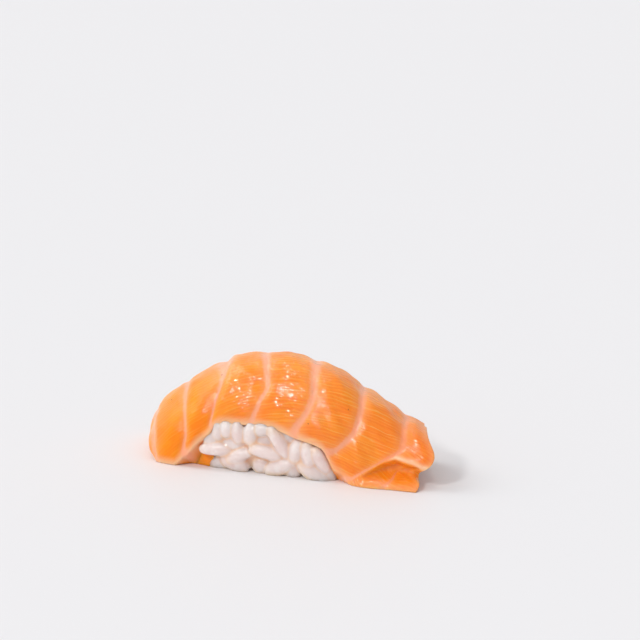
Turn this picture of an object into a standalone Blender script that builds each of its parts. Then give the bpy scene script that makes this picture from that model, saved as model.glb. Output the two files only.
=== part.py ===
"""Salmon nigiri: a slice of raw salmon draped over a pressed block of rice.

X runs along the piece (the right end lies nearer the eye), Y runs to the back, Z is up.
The origin is the middle of the rice's flat underside. Everything is in metres.
"""
import math

import bmesh
import bpy
import numpy as np

MM = 0.001

# The slice: its centre line from the left end over the top to the right end, as (x, z).
RIDGE = MM * np.array([(-32.8, 0.6), (-35.0, 3.8), (-34.1, 9.2), (-29.3, 14.1), (-22.8, 18.7), (-13.6, 23.8),
                       (-4.5, 25.9), (5.4, 25.6), (13.5, 23.0), (21.6, 18.4), (28.8, 14.3), (34.0, 11.9)])
SLICE_LENGTH = float(np.linalg.norm(np.diff(RIDGE, axis=0), axis=1).sum())
FRONT_HALF_WIDTH = 12.7 * MM
BACK_HALF_WIDTH = 12.9 * MM
LEFT_NARROWS = 2.6 * MM            # the slice's left end tapers,
LEFT_ROUNDS_FRONT, LEFT_ROUNDS_BACK = 3.8 * MM, 5.5 * MM    # and its corners are rounded
LEFT_CORNER = 3.4 * MM             # the front one also along the slice
RIGHT_NARROWS_FRONT = 2.0 * MM
RIGHT_NARROWS_BACK = 1.1 * MM
ROUNDNESS = 2.35                   # exponent of the arched section
SHEAR = 0.33                       # cut askew: the front edge lies this share of the width to the right
TOP_THICKNESS = 4.1 * MM
TOP_THICKENS_LEFT, TOP_THINS_RIGHT = 2.6 * MM, 1.1 * MM
SIDE_THICKNESS = 1.5 * MM
SIDE_THICKENS_LEFT, SIDE_THICKENS_RIGHT = 1.9 * MM, 1.7 * MM
EDGE_LIFT = 0.6 * MM               # half the thickness of an edge that lies on the table
RIM_BULGE, RIM_BULGE_MOST = 0.18, 0.35 * MM    # how far a cut edge is rounded out: a share of its thickness
RIM_UNDERCUT = 0.16                # how far a tall edge is hollowed, as a share of its height

# Height of the long edges over the table, as (x, z). Their inner sides come down earlier, against the rice.
FRONT_EDGE = MM * np.array([(-24.0, 0), (-22.9, 2.0), (-20.6, 2.9), (-19.2, 5.0), (-18.0, 6.3), (-15.4, 8.2),
                            (-14.3, 10.0), (-13.0, 11.1), (-10.9, 11.5), (-5.8, 11.6), (-1.6, 11.7), (1.6, 11.4),
                            (4.1, 10.5), (6.1, 9.8), (11.4, 8.6), (13.9, 7.4), (14.7, 5.4), (15.2, 3.8),
                            (16.6, 2.9), (18.3, 2.1), (20.3, 0)])
BACK_EDGE = MM * np.array([(-22.3, 0), (-19.5, 3.4), (-16.4, 6.4), (-11.8, 9.2), (-7.0, 10.1), (-2.1, 11.0),
                           (3.4, 10.5), (8.8, 9.3), (13.1, 7.3), (17.0, 4.0), (21.6, 0)])
FRONT_EDGE_INSIDE = MM * np.array([(-16.2, 0), (-12.5, 14.0), (10.5, 14.0), (14.6, 0)])
BACK_EDGE_INSIDE = MM * np.array([(-17.5, 0), (-12.5, 12.0), (12.0, 12.0), (16.5, 0)])
EDGE_SOFTNESS = 0.9 * MM           # the corners of those lines are rounded over this length

# The right end's front corner: a foot on the table, a crease over it, a crest over the crease. The crest is given
# as the share of the slice's length and its height over the table in mm.
FOOT_REACH, FOOT_HEIGHT = 3.0 * MM, 5.9 * MM
FOOT_REACH_INSIDE, FOOT_HEIGHT_INSIDE = 1.4 * MM, 4.5 * MM
CREST = np.array([(0.755, 0.9), (0.81, 3.0), (0.87, 5.9), (0.90, 6.9), (0.94, 6.2), (0.98, 5.2), (1.0, 4.9)])
CREST_REACH, CREST_WIDTH = 0.7 * MM, 1.8 * MM
CREASE_DEPTH, CREASE_STARTS = 3.0 * MM, 0.30     # it is full from this share of the crest's height under it
FOOT_LOW, FOOT_HIGH = 0.5 * MM, 3.3 * MM         # and fades out over the foot
TIP_REACH, TIP_HEIGHT, TIP_WIDTH = 2.3 * MM, 7.6 * MM, 3.2 * MM
NOTCH_DEPTH, NOTCH_HEIGHT, NOTCH_WIDTH = 4.0 * MM, 3.2 * MM, 1.4 * MM
FOOT_CORNER = 1.4 * MM

# Bands of flesh swell between fat lines. A line is its distance along the slice from the left end, at
# the centre line, at its bend (a share of the way down to an edge) and at a long edge.
BULGE = 0.36 * MM
LINE_BEND = 0.65
FAT_LINES = MM * np.array([(9.6, 9.0, 10.0), (20.3, 20.8, 20.5), (33.0, 30.4, 28.4), (42.7, 43.6, 39.4),
                           (56.0, 55.2, 49.6), (68.9, 66.0, 57.4), (81.0, 77.8, 64.6)])
GROOVES = MM * np.array([0.15, 0.2, 0.3, 0.1, 0.2, 0.25, 0.2])   # how deep each line lies
GROOVE_WIDTH = 1.8 * MM
STEPS_UP = MM * np.array([0.2, 0.3, 0.9, 0.0, 0.15, 0.2, 0.1])   # how much higher the flesh is right of a line
STEP_RISES, STEP_LASTS = 2.2 * MM, 6.0 * MM
FIRST_BAND, LAST_BAND = -5.4 * MM, 99.0 * MM
SLICE_STEPS = (42, 12)             # along, and across from the centre line to an edge

# The rice: a pressed block with cooked grains on its four sides.
RICE_LEFT, RICE_RIGHT = -22.6 * MM, 24.3 * MM
RICE_HALF_WIDTH = 10.2 * MM
RICE_BELLY = 6.7 * MM              # height at which the block is widest
RICE_TOP = 23.0 * MM               # the slice's underside trims what is higher
RICE_BELOW = 9.0 * MM              # lower half of the section, trimmed flat at the table
RICE_SQUARENESS = 2.6
RICE_END_SQUARENESS = 3.0
BLOCK_STEPS = (23, 24)
GRAIN_LENGTH = 7.2 * MM
GRAIN_WIDTH = 3.0 * MM
GRAIN_FLATNESS = 0.86
GRAIN_COLUMNS = 23
GRAIN_HEIGHTS = MM * np.array([1.5, 4.4, 7.3, 10.2, 12.9])
GRAIN_SINKS, GRAIN_STANDS = 0.55 * MM, 0.22 * MM
GRAIN_SHIFTS_UP = 0.45 * MM
SEED = 11
# Grains that show at the front: middle (x, y, z) and length in mm, and how far each is turned up, in degrees.
FRONT_GRAINS = [(-14.0, -11.6, 4.8, 7.9, 4), (-13.3, -10.6, 10.0, 6.2, 84), (-11.0, -10.7, 11.0, 6.2, 93),
                (-8.1, -11.0, 9.9, 6.2, 95), (-5.0, -11.0, 10.0, 6.2, 86), (-2.1, -10.8, 10.7, 3.8, 10),
                (2.0, -11.0, 8.2, 8.1, -57), (-1.4, -11.3, 5.3, 7.6, -12), (-8.1, -11.0, 3.5, 6.7, 27),
                (-9.2, -10.8, 1.7, 7.2, -17), (2.4, -11.0, 2.2, 7.6, 20), (10.6, -11.0, 1.6, 7.6, -23),
                (6.3, -10.7, 6.2, 5.7, 76), (9.4, -10.9, 5.8, 6.0, -80), (12.5, -10.8, 4.9, 6.7, -55),
                (-2.6, -10.4, 1.5, 4.3, -8), (5.5, -10.6, 1.2, 4.3, 80), (-2.4, -10.2, 7.8, 6.2, 10),
                (-9.5, -10.7, 6.5, 7.2, 22), (-15.0, -10.9, 7.2, 4.3, 40), (14.3, -10.3, 2.0, 4.8, -70),
                (4.2, -10.3, 10.7, 6.2, -40)]
FRONT_GRAIN_WIDTH = 3.2 * MM
FRONT_SINKS = 1.0 * MM             # other grains on that side lie this much deeper
SIDES_START = 7.0 * MM             # from this far out, grains keep clear of the slice's ends
SIDES_LEFT, SIDES_RIGHT = -15.5 * MM, 14.0 * MM

GAP = 0.3 * MM                     # clearance between the rice and the slice
SHORTEST_EDGE = 0.045 * MM         # shorter ones, left by the cuts, are merged
TABLE = MM * np.array([(-60, -40, -20), (60, 40, 0)])


def smooth(x, low, high):
    t = np.clip((x - low) / (high - low), 0, 1)
    return t * t * (3 - 2 * t)


def bump(x, centre, width):
    return np.exp(-(((x - centre) / width) ** 2))


def curve_through(points, t):
    """Smooth curve through points, t from 0 to 1 by length."""
    steps = np.linalg.norm(np.diff(points, axis=0), axis=1)
    knots = np.concatenate([[0], np.cumsum(steps)])
    slopes = np.gradient(points, knots, axis=0)
    s = np.clip(t, 0, 1) * knots[-1]
    i = np.clip(np.searchsorted(knots, s, side="right") - 1, 0, len(steps) - 1)
    h = steps[i][..., None]
    w = (s - knots[i])[..., None] / h
    return ((2 * w**3 - 3 * w**2 + 1) * points[i] + (w**3 - 2 * w**2 + w) * h * slopes[i]
            + (3 * w**2 - 2 * w**3) * points[i + 1] + (w**3 - w**2) * h * slopes[i + 1])


def centre_line(a, depth):
    """The slice's centre line at depth under its top."""
    step = 1e-3
    along = curve_through(RIDGE, np.clip(a + step, 0, 1)) - curve_through(RIDGE, np.clip(a - step, 0, 1))
    along /= np.linalg.norm(along, axis=-1, keepdims=True)
    inward = np.stack([along[..., 1], np.minimum(-along[..., 0], 0)], -1)    # never up, where the end tucks in
    inward /= np.linalg.norm(inward, axis=-1, keepdims=True)
    return curve_through(RIDGE, a) + inward * np.asarray(depth)[..., None]


def edge_height(x, front, inside):
    """How high a long edge of the slice stands over the table."""
    spread = x[..., None] + EDGE_SOFTNESS * np.linspace(-1, 1, 5)
    heights = [np.interp(spread, *edge.T).mean(-1)
               for edge in (FRONT_EDGE, BACK_EDGE, FRONT_EDGE_INSIDE, BACK_EDGE_INSIDE)]
    outer = np.where(front, heights[0], heights[1])
    return np.minimum(outer, np.where(front, heights[2], heights[3])) if inside else outer


def half_width(a, front):
    w = np.where(front, FRONT_HALF_WIDTH, BACK_HALF_WIDTH)
    narrow_left = LEFT_NARROWS * (1 - smooth(a, 0.0, 0.24))
    narrow_left = narrow_left + np.where(front, LEFT_ROUNDS_FRONT, LEFT_ROUNDS_BACK) * (1 - smooth(a, -0.05, 0.12))
    narrow_right = np.where(front, RIGHT_NARROWS_FRONT, RIGHT_NARROWS_BACK) * smooth(a, 0.62, 0.95)
    return w - narrow_left - narrow_right


def section(a, b, depth, side, inside):
    """A point of the arched section: a along the slice, b from -1 at the back edge to 1 at the front edge."""
    front = b > 0
    sign = np.where(front, 1.0, -1.0)
    top = centre_line(a, depth)
    h = np.maximum(top[..., 1], 0.1 * MM)
    w = half_width(a, front) - side
    low = np.maximum(edge_height(top[..., 0] + SHEAR * w * sign, front, inside), 0 if inside else EDGE_LIFT)
    low = np.minimum(low, 0.92 * h)     # near the ends an edge is never as high as the centre line
    q = ROUNDNESS / 2
    turn = np.arccos(np.clip(low / h, 0, 1) ** q) * 2 / np.pi
    end = turn ** (1 / q) / (turn ** (1 / q) + (1 - turn) ** (1 / q))
    s = np.abs(b) * end
    turn = s**q / (s**q + (1 - s) ** q) * np.pi / 2
    y = w * np.sin(turn) ** (1 / q)
    z = h * np.cos(turn) ** (1 / q)
    return top[..., 0] + SHEAR * y * sign, y, z, sign


def relief(a, b):
    """How far the bands swell and the fat lines sink: a half sine between two lines, less a dip at each."""
    lines = np.array([[FIRST_BAND] * 3, *FAT_LINES, [LAST_BAND] * 3])
    ridge, bend, edge = lines[:, 0], lines[:, 1], lines[:, 2]
    across = np.abs(b)[..., None]
    place = ridge + (bend - ridge) * np.minimum(across / LINE_BEND, 1)
    place = place + (edge - bend) * np.maximum((across - LINE_BEND) / (1 - LINE_BEND), 0)
    s = (a * SLICE_LENGTH)[..., None]
    band = np.clip((s - place[..., :-1]) / np.diff(place, axis=-1), 0, 1).sum(-1) % 1
    past = s - place[..., 1:-1]
    steps = STEPS_UP * smooth(past, 0, STEP_RISES) * np.exp(-np.maximum(past, 0) / STEP_LASTS)
    return BULGE * np.sin(np.pi * band) ** 0.8 + (steps - GROOVES * bump(past, 0, GROOVE_WIDTH)).sum(-1)


def slice_outer(a, b):
    x, y, z, sign = section(a, b, np.zeros_like(a), 0.0, False)
    front = b > 0
    foot = FOOT_REACH * np.clip(1 - z / FOOT_HEIGHT, 0, 1) ** 1.5 * smooth(a, 0.70, 0.84)
    crest_height = np.interp(a, CREST[:, 0], CREST[:, 1] * MM)
    crest = CREST_REACH * bump(z, crest_height, CREST_WIDTH)
    crease = CREASE_DEPTH * smooth(1 - z / crest_height, 0, CREASE_STARTS) * smooth(z, FOOT_LOW, FOOT_HIGH)
    y = y + (foot + (crest - crease) * smooth(a, 0.755, 0.88)) * front
    tip = TIP_REACH * bump(z, TIP_HEIGHT, TIP_WIDTH)
    notch = NOTCH_DEPTH * bump(z, NOTCH_HEIGHT, NOTCH_WIDTH) + FOOT_CORNER * bump(z, 0, NOTCH_WIDTH)
    x = x + (tip - notch) * smooth(a, 0.84, 1.0) * front
    x = x + LEFT_CORNER * smooth(b, 0.55, 1.05) ** 2 * (1 - smooth(a, 0, 0.17))
    return np.stack([x, -sign * y, z], -1)


def slice_inner(a, b):
    depth = TOP_THICKNESS + TOP_THICKENS_LEFT * (1 - smooth(a, 0, 0.25)) - TOP_THINS_RIGHT * smooth(a, 0.8, 1)
    side = SIDE_THICKNESS + SIDE_THICKENS_LEFT * (1 - smooth(a, 0.22, 0.36))
    side = side + SIDE_THICKENS_RIGHT * smooth(a, 0.6, 0.8)
    x, y, z, sign = section(a, b, depth, side, True)
    y = y + FOOT_REACH_INSIDE * np.clip(1 - z / FOOT_HEIGHT_INSIDE, 0, 1) * smooth(a, 0.70, 0.84) * (b > 0)
    return np.stack([x, -sign * y, z], -1)


def normals(grid):
    """Unit normals of a grid of points, pointing out of the slice's top."""
    n = np.cross(np.gradient(grid, axis=1), np.gradient(grid, axis=0))
    return n / np.maximum(np.linalg.norm(n, axis=-1, keepdims=True), 1e-12)


def slice_shell(steps, grow=0.0):
    """Grids of the slice's outer and inner surface; grow fattens it all round."""
    a, b = np.meshgrid(np.linspace(0, 1, steps[0]), np.linspace(-1, 1, steps[1] * 2 + 1), indexing="ij")
    out, under = slice_outer(a, b), slice_inner(a, b)
    fade = smooth(1 - np.abs(b), 0.0, 0.15) * smooth(a, 0, 0.04) * smooth(1 - a, 0, 0.04)
    out = out + normals(out) * (relief(a, b) * fade + grow)[..., None]
    under = under - normals(under) * grow
    out[..., 2] = np.maximum(out[..., 2], 0.0)
    under[..., 2] = np.maximum(under[..., 2], 0.0)
    return out, under


def rim(out, under, inward, grow=0.0):
    """Rounded edge between an outer and an inner row of points; inward is the outer row's neighbour."""
    away = out - inward
    away /= np.maximum(np.linalg.norm(away, axis=-1, keepdims=True), 1e-9)
    thick = np.linalg.norm(out - under, axis=-1, keepdims=True)
    row = (out + under) / 2 + away * (np.minimum(RIM_BULGE * thick, RIM_BULGE_MOST) + grow)
    row[..., 1] -= np.sign(row[..., 1]) * RIM_UNDERCUT * np.maximum(out[..., 2] - under[..., 2] - SIDE_THICKNESS, 0)
    row[..., 2] = np.maximum(row[..., 2], 0.0)
    return row


def slice_mesh(name, steps, grow=0.0):
    """Closed mesh of the slice."""
    out, under = slice_shell(steps, grow)
    na, nb = out.shape[:2]
    front = rim(out[:, -1], under[:, -1], out[:, -2], grow)
    back = rim(out[:, 0], under[:, 0], out[:, 1], grow)
    left = rim(out[0], under[0], out[1], grow)
    right = rim(out[-1], under[-1], out[-2], grow)
    points = np.concatenate([out.reshape(-1, 3), under.reshape(-1, 3), front, back, left, right])
    o = np.arange(na * nb).reshape(na, nb)
    u = o + na * nb
    f = 2 * na * nb + np.arange(na)
    k = f + na
    e = f[0] + 2 * na + np.arange(nb)
    r = e + nb
    quads = []

    def strip(p, q):
        quads.extend(zip(p[:-1], q[:-1], q[1:], p[1:]))

    for i in range(na - 1):
        strip(o[i], o[i + 1])
        strip(u[i + 1], u[i])
    strip(o[:, -1], f)
    strip(f, u[:, -1])
    strip(k, o[:, 0])
    strip(u[:, 0], k)
    strip(e, o[0])
    strip(u[0], e)
    strip(o[-1], r)
    strip(r, u[-1])
    corners = [(o[0, 0], k[0], e[0]), (k[0], u[0, 0], e[0]), (o[0, -1], e[-1], f[0]), (f[0], e[-1], u[0, -1]),
               (o[-1, 0], r[0], k[-1]), (k[-1], r[0], u[-1, 0]), (o[-1, -1], f[-1], r[-1]), (f[-1], u[-1, -1], r[-1])]
    mesh = bpy.data.meshes.new(name)
    mesh.from_pydata(points.tolist(), [], [tuple(int(v) for v in face) for face in quads + corners])
    return closed(mesh)


def closed(mesh):
    """Turns every face out and keeps the mesh made of triangles."""
    bm = bmesh.new()
    bm.from_mesh(mesh)
    bmesh.ops.recalc_face_normals(bm, faces=bm.faces)
    bmesh.ops.triangulate(bm, faces=bm.faces)
    if bm.calc_volume(signed=True) < 0:
        bmesh.ops.reverse_faces(bm, faces=bm.faces)
    bm.to_mesh(mesh)
    bm.free()
    return mesh


def rice_skin(u, t):
    """The pressed block's surface: u from -1 to 1 along it, t the angle round its section."""
    middle, half = (RICE_LEFT + RICE_RIGHT) / 2, (RICE_RIGHT - RICE_LEFT) / 2
    end = np.maximum(1 - np.abs(u) ** RICE_END_SQUARENESS, 0) ** (1 / RICE_END_SQUARENESS)
    c, s = np.cos(t), np.sin(t)
    q = 2 / RICE_SQUARENESS
    tall = np.where(s > 0, RICE_TOP - RICE_BELLY, RICE_BELOW)
    x = middle + half * u
    y = RICE_HALF_WIDTH * end * np.sign(c) * np.abs(c) ** q
    z = RICE_BELLY + tall * (0.35 + 0.65 * end) * np.sign(s) * np.abs(s) ** q * np.minimum(end * 3, 1)
    return np.stack([x, y, z], -1)


def rice_core():
    """Closed mesh of the block under the grains."""
    u = np.sin(np.linspace(-np.pi / 2, np.pi / 2, BLOCK_STEPS[0]))[1:-1]
    t = np.linspace(0, 2 * np.pi, BLOCK_STEPS[1], endpoint=False)
    rings = rice_skin(*np.meshgrid(u, t, indexing="ij"))
    rows, cols = rings.shape[:2]
    tips = np.array([[RICE_LEFT, 0, RICE_BELLY], [RICE_RIGHT, 0, RICE_BELLY]])
    points = np.concatenate([rings.reshape(-1, 3), tips])
    index = np.arange(rows * cols).reshape(rows, cols)
    faces = []
    for i in range(rows - 1):
        for j in range(cols):
            k = (j + 1) % cols
            faces.append((index[i, j], index[i, k], index[i + 1, k], index[i + 1, j]))
    for j in range(cols):
        k = (j + 1) % cols
        faces.append((rows * cols, index[0, k], index[0, j]))
        faces.append((rows * cols + 1, index[-1, j], index[-1, k]))
    mesh = bpy.data.meshes.new("rice_core")
    mesh.from_pydata(points.tolist(), [], [tuple(int(v) for v in face) for face in faces])
    return closed(mesh)


def grain_mesh(name, centre, along, out, length, width):
    """One cooked grain: a spindle of six sides, lying along one way and flattened along another."""
    side = np.cross(out, along)
    rings = [(-0.36, 0.72), (0.0, 1.0), (0.36, 0.72)]
    angles = np.linspace(0, 2 * np.pi, 6, endpoint=False)
    points = []
    for place, girth in rings:
        for angle in angles:
            points.append(centre + along * (place * length) + side * (math.cos(angle) * girth * width / 2)
                          + out * (math.sin(angle) * girth * width / 2 * GRAIN_FLATNESS))
    points += [centre - along * (length / 2), centre + along * (length / 2)]
    faces = []
    for j in range(6):
        k = (j + 1) % 6
        faces += [(j, k, 6 + k, 6 + j), (6 + j, 6 + k, 12 + k, 12 + j), (18, k, j), (19, 12 + j, 12 + k)]
    mesh = bpy.data.meshes.new(name)
    mesh.from_pydata([tuple(p) for p in points], [], faces)
    return closed(mesh)


def grain_places():
    """Grains spread over the block's four sides in staggered rows, each turned its own way."""
    rng = np.random.default_rng(SEED)
    middle = np.array([(RICE_LEFT + RICE_RIGHT) / 2, 0.0])
    half = np.array([(RICE_RIGHT - RICE_LEFT) / 2, RICE_HALF_WIDTH])
    places = []
    for row, height in enumerate(GRAIN_HEIGHTS):
        ratio = (height - RICE_BELLY) / (RICE_TOP - RICE_BELLY if height > RICE_BELLY else RICE_BELOW)
        inset = (1 - abs(ratio) ** RICE_SQUARENESS) ** (1 / RICE_SQUARENESS)
        ring = np.linspace(0, 2 * np.pi, 720, endpoint=False)
        q = 2 / RICE_END_SQUARENESS
        loop = middle + half * [inset**0.5, inset] * np.stack(
            [np.sign(np.cos(ring)) * np.abs(np.cos(ring)) ** q, np.sign(np.sin(ring)) * np.abs(np.sin(ring)) ** q], -1)
        run = np.concatenate([[0], np.cumsum(np.linalg.norm(np.diff(loop, axis=0, append=loop[:1]), axis=1))])
        for column in range(GRAIN_COLUMNS):
            place = (column + 0.5 * (row % 2) + rng.uniform(-0.28, 0.28)) / GRAIN_COLUMNS % 1 * run[-1]
            i = int(np.searchsorted(run, place)) % 720
            tangent = loop[(i + 4) % 720] - loop[i - 4]
            tangent /= np.linalg.norm(tangent)
            lean = ratio**3 * 0.6
            out = np.array([tangent[1], -tangent[0], lean])
            out /= np.linalg.norm(out)
            around = np.array([tangent[0], tangent[1], 0.0])
            turn = rng.uniform(0, np.pi)
            along = around * math.cos(turn) + np.cross(out, around) * math.sin(turn)
            along += out * rng.uniform(-0.25, 0.25)
            along /= np.linalg.norm(along)
            out = out - along * (out @ along)
            out /= np.linalg.norm(out)
            centre = np.array([loop[i][0], loop[i][1], height + rng.uniform(-1, 1) * GRAIN_SHIFTS_UP])
            centre += out * (rng.uniform(-GRAIN_SINKS, GRAIN_STANDS) - FRONT_SINKS * (out[1] < -0.7))
            size = rng.uniform(0.86, 1.08)
            length = GRAIN_LENGTH * size * rng.uniform(0.85, 1.0)
            if abs(centre[1]) < SIDES_START or SIDES_LEFT < centre[0] < SIDES_RIGHT:
                places.append((centre, along, out, length, GRAIN_WIDTH * size))
    for x, y, z, length, turn in FRONT_GRAINS:
        along = np.array([math.cos(math.radians(turn)), 0, math.sin(math.radians(turn))])
        places.append((MM * np.array([x, y, z]), along, np.array([0, -1.0, 0]), MM * length, FRONT_GRAIN_WIDTH))
    return places


def add(name, mesh, collection=None):
    obj = bpy.data.objects.new(name, mesh)
    (collection or bpy.context.scene.collection).objects.link(obj)
    return obj


def boolean(obj, operation, collection):
    """Joins or cuts with everything in a collection, applies it and removes the collection's objects."""
    modifier = obj.modifiers.new(operation.lower(), "BOOLEAN")
    modifier.operand_type = "COLLECTION"
    modifier.collection = collection
    modifier.operation = operation
    modifier.solver = "EXACT"
    bpy.context.view_layer.update()
    result = bpy.data.meshes.new_from_object(obj.evaluated_get(bpy.context.evaluated_depsgraph_get()))
    obj.modifiers.clear()
    obj.data = result
    for tool in list(collection.objects):
        bpy.data.objects.remove(tool)
    bpy.data.collections.remove(collection)


def shrink_short_edges(bm, limit):
    """Merges the ends of very short edges, one edge at a time, where the surface stays closed."""
    for _ in range(4):
        short = sorted((e for e in bm.edges if e.calc_length() < limit), key=lambda e: e.calc_length())
        touched = set()
        merges = {}
        for edge in short:
            one, two = edge.verts
            near = {e.other_vert(one) for e in one.link_edges}
            far = {e.other_vert(two) for e in two.link_edges}
            if len(edge.link_faces) != 2 or len(near & far) != 2 or touched & (near | far):
                continue
            touched |= near | far
            merges[two] = one
        if not merges:
            return
        bmesh.ops.weld_verts(bm, targetmap=merges)


def keep_largest(mesh):
    """Drops loose scraps and sealed hollows, and cleans up after the cuts."""
    bm = bmesh.new()
    bm.from_mesh(mesh)
    bmesh.ops.triangulate(bm, faces=bm.faces)
    shrink_short_edges(bm, SHORTEST_EDGE)
    islands = []
    seen = set()
    for start in bm.faces:
        if start in seen:
            continue
        island, queue = [], [start]
        seen.add(start)
        while queue:
            face = queue.pop()
            island.append(face)
            for edge in face.edges:
                for other in edge.link_faces:
                    if other not in seen:
                        seen.add(other)
                        queue.append(other)
        islands.append(island)
    islands.sort(key=len)
    scraps = [face for island in islands[:-1] for face in island]
    bmesh.ops.delete(bm, geom=scraps, context="FACES")
    bm.to_mesh(mesh)
    bm.free()


def material(name, colour, roughness):
    made = bpy.data.materials.new(name)
    made.use_nodes = True
    shader = made.node_tree.nodes["Principled BSDF"]
    shader.inputs["Base Color"].default_value = (*colour, 1)
    shader.inputs["Roughness"].default_value = roughness
    return made


def box_mesh(name, low, high):
    mesh = bpy.data.meshes.new(name)
    bm = bmesh.new()
    bmesh.ops.create_cube(bm, size=1)
    for vertex in bm.verts:
        for axis in range(3):
            vertex.co[axis] = high[axis] if vertex.co[axis] > 0 else low[axis]
    bm.to_mesh(mesh)
    bm.free()
    return mesh


def main():
    for obj in list(bpy.data.objects):
        bpy.data.objects.remove(obj)

    salmon = add("salmon", slice_mesh("salmon", SLICE_STEPS))
    salmon.data.materials.append(material("salmon_flesh", (0.90, 0.28, 0.09), 0.35))

    rice = add("rice", rice_core())
    grains = bpy.data.collections.new("grains")
    bpy.context.scene.collection.children.link(grains)
    for number, place in enumerate(grain_places()):
        add(f"grain_{number:03d}", grain_mesh(f"grain_{number:03d}", *place), grains)
    boolean(rice, "UNION", grains)

    trims = bpy.data.collections.new("trims")
    bpy.context.scene.collection.children.link(trims)
    add("table", box_mesh("table", *TABLE), trims)
    add("clearance", slice_mesh("clearance", SLICE_STEPS, GAP), trims)
    for aside in ((GAP, 0, 0), (-GAP, 0, 0), (0, GAP, 0), (0, -GAP, 0), (0, 0, -GAP)):
        add("clearance", slice_mesh("clearance", SLICE_STEPS), trims).location = aside
    boolean(rice, "DIFFERENCE", trims)
    keep_largest(rice.data)
    rice.data.materials.clear()
    rice.data.materials.append(material("cooked_rice", (0.86, 0.80, 0.76), 0.4))
    for mesh in list(bpy.data.meshes):
        if mesh.users == 0:
            bpy.data.meshes.remove(mesh)


main()
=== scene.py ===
# %% [markdown]
# # A piece of salmon nigiri
# Nigiri is a block of cooked rice, pressed in the hand, with a slice of raw salmon laid over it. This lesson
# dresses a plain model of such a piece: the slice gets its fat lines, fibres and wet shine, and the block
# becomes sticky grains. We start from the plain model, because it settles the size and the place of all that
# follows, and we keep its box in the scene, hidden.

# %% Load the plain model
import math

import bmesh
import bpy
import numpy as np
from mathutils import Matrix, Vector


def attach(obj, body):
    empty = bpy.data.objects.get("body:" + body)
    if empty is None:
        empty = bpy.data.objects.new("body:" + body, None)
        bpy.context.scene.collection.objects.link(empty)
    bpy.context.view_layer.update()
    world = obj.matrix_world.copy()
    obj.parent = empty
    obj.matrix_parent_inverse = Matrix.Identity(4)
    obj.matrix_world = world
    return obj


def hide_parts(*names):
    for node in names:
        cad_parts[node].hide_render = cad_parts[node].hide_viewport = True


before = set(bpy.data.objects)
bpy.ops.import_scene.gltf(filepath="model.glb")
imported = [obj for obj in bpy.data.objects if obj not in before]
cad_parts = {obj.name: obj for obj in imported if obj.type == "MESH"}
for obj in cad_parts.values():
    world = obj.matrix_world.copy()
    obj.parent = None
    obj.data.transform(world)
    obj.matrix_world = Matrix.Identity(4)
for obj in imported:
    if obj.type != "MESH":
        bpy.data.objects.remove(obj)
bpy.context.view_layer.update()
MM = 0.001

# %% [markdown]
# ## The camera
# The photograph looks down on the piece from about 17 degrees over the table and 20 degrees round to its right
# end. The piece lies low in the picture, so the camera looks out level with 13.5 degrees and sees it under its
# axis. We place the camera on its own axis and then slide it in its own plane until the middle of the rice's
# underside falls on the right pixel, because sliding keeps the perspective true without any lens shift.

# %% Place the camera
PICTURE = 640                              # pixels, both ways
PIXEL = 0.2385 * MM                        # what one pixel covers at the middle of the rice
ORIGIN_PIXEL = (288, 461)                  # where the middle of the rice's underside falls
VIEW_TURN, VIEW_RISE = math.radians(20), math.radians(13.5)
VIEW_WIDTH = math.radians(16)              # the angle that the picture takes in
distance = PICTURE / 2 * PIXEL / math.tan(VIEW_WIDTH / 2)

across = Vector((math.cos(VIEW_TURN), math.sin(VIEW_TURN), 0))
back = Vector((math.sin(VIEW_TURN) * math.cos(VIEW_RISE), -math.cos(VIEW_TURN) * math.cos(VIEW_RISE),
               math.sin(VIEW_RISE)))
above = back.cross(across)
camera = bpy.data.objects.new("camera", bpy.data.cameras.new("camera"))
bpy.context.scene.collection.objects.link(camera)
camera.location = (back * distance - across * (ORIGIN_PIXEL[0] - PICTURE / 2) * PIXEL
                   + above * (ORIGIN_PIXEL[1] - PICTURE / 2) * PIXEL)
camera.rotation_euler = Matrix((across, above, back)).transposed().to_euler()
camera.data.lens = camera.data.sensor_width / 2 / math.tan(VIEW_WIDTH / 2)
camera.data.clip_start, camera.data.clip_end = 0.01, 20
bpy.context.scene.camera = camera
print("camera stands", round(distance / MM), "mm away with a lens of", round(camera.data.lens), "mm")

# %% [markdown]
# ## A mesh from whole arrays
# Every shape here is worked out as a grid of points in numpy. One helper turns points and faces into a mesh
# object in one go, which is far quicker than adding vertices one by one, and shades it smooth. Another stores
# one number a point on the mesh, which is how a material learns where a fat line or an edge is.

# %% Helpers for shapes
def smooth(x, low, high):
    """0 below low, 1 above high, and the cubic 3t^2 - 2t^3 between them."""
    t = np.clip((x - low) / (high - low), 0, 1)
    return t * t * (3 - 2 * t)


def bump(x, centre, width):
    """Bell curve: e to the minus square of the distance from centre in widths."""
    return np.exp(-(((x - centre) / width) ** 2))


def quads_between(rows):
    """Quads that join each row of point numbers to the next row."""
    a, b = rows[:-1], rows[1:]
    return np.stack([a[:, :-1], b[:, :-1], b[:, 1:], a[:, 1:]], -1).reshape(-1, 4)


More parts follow.
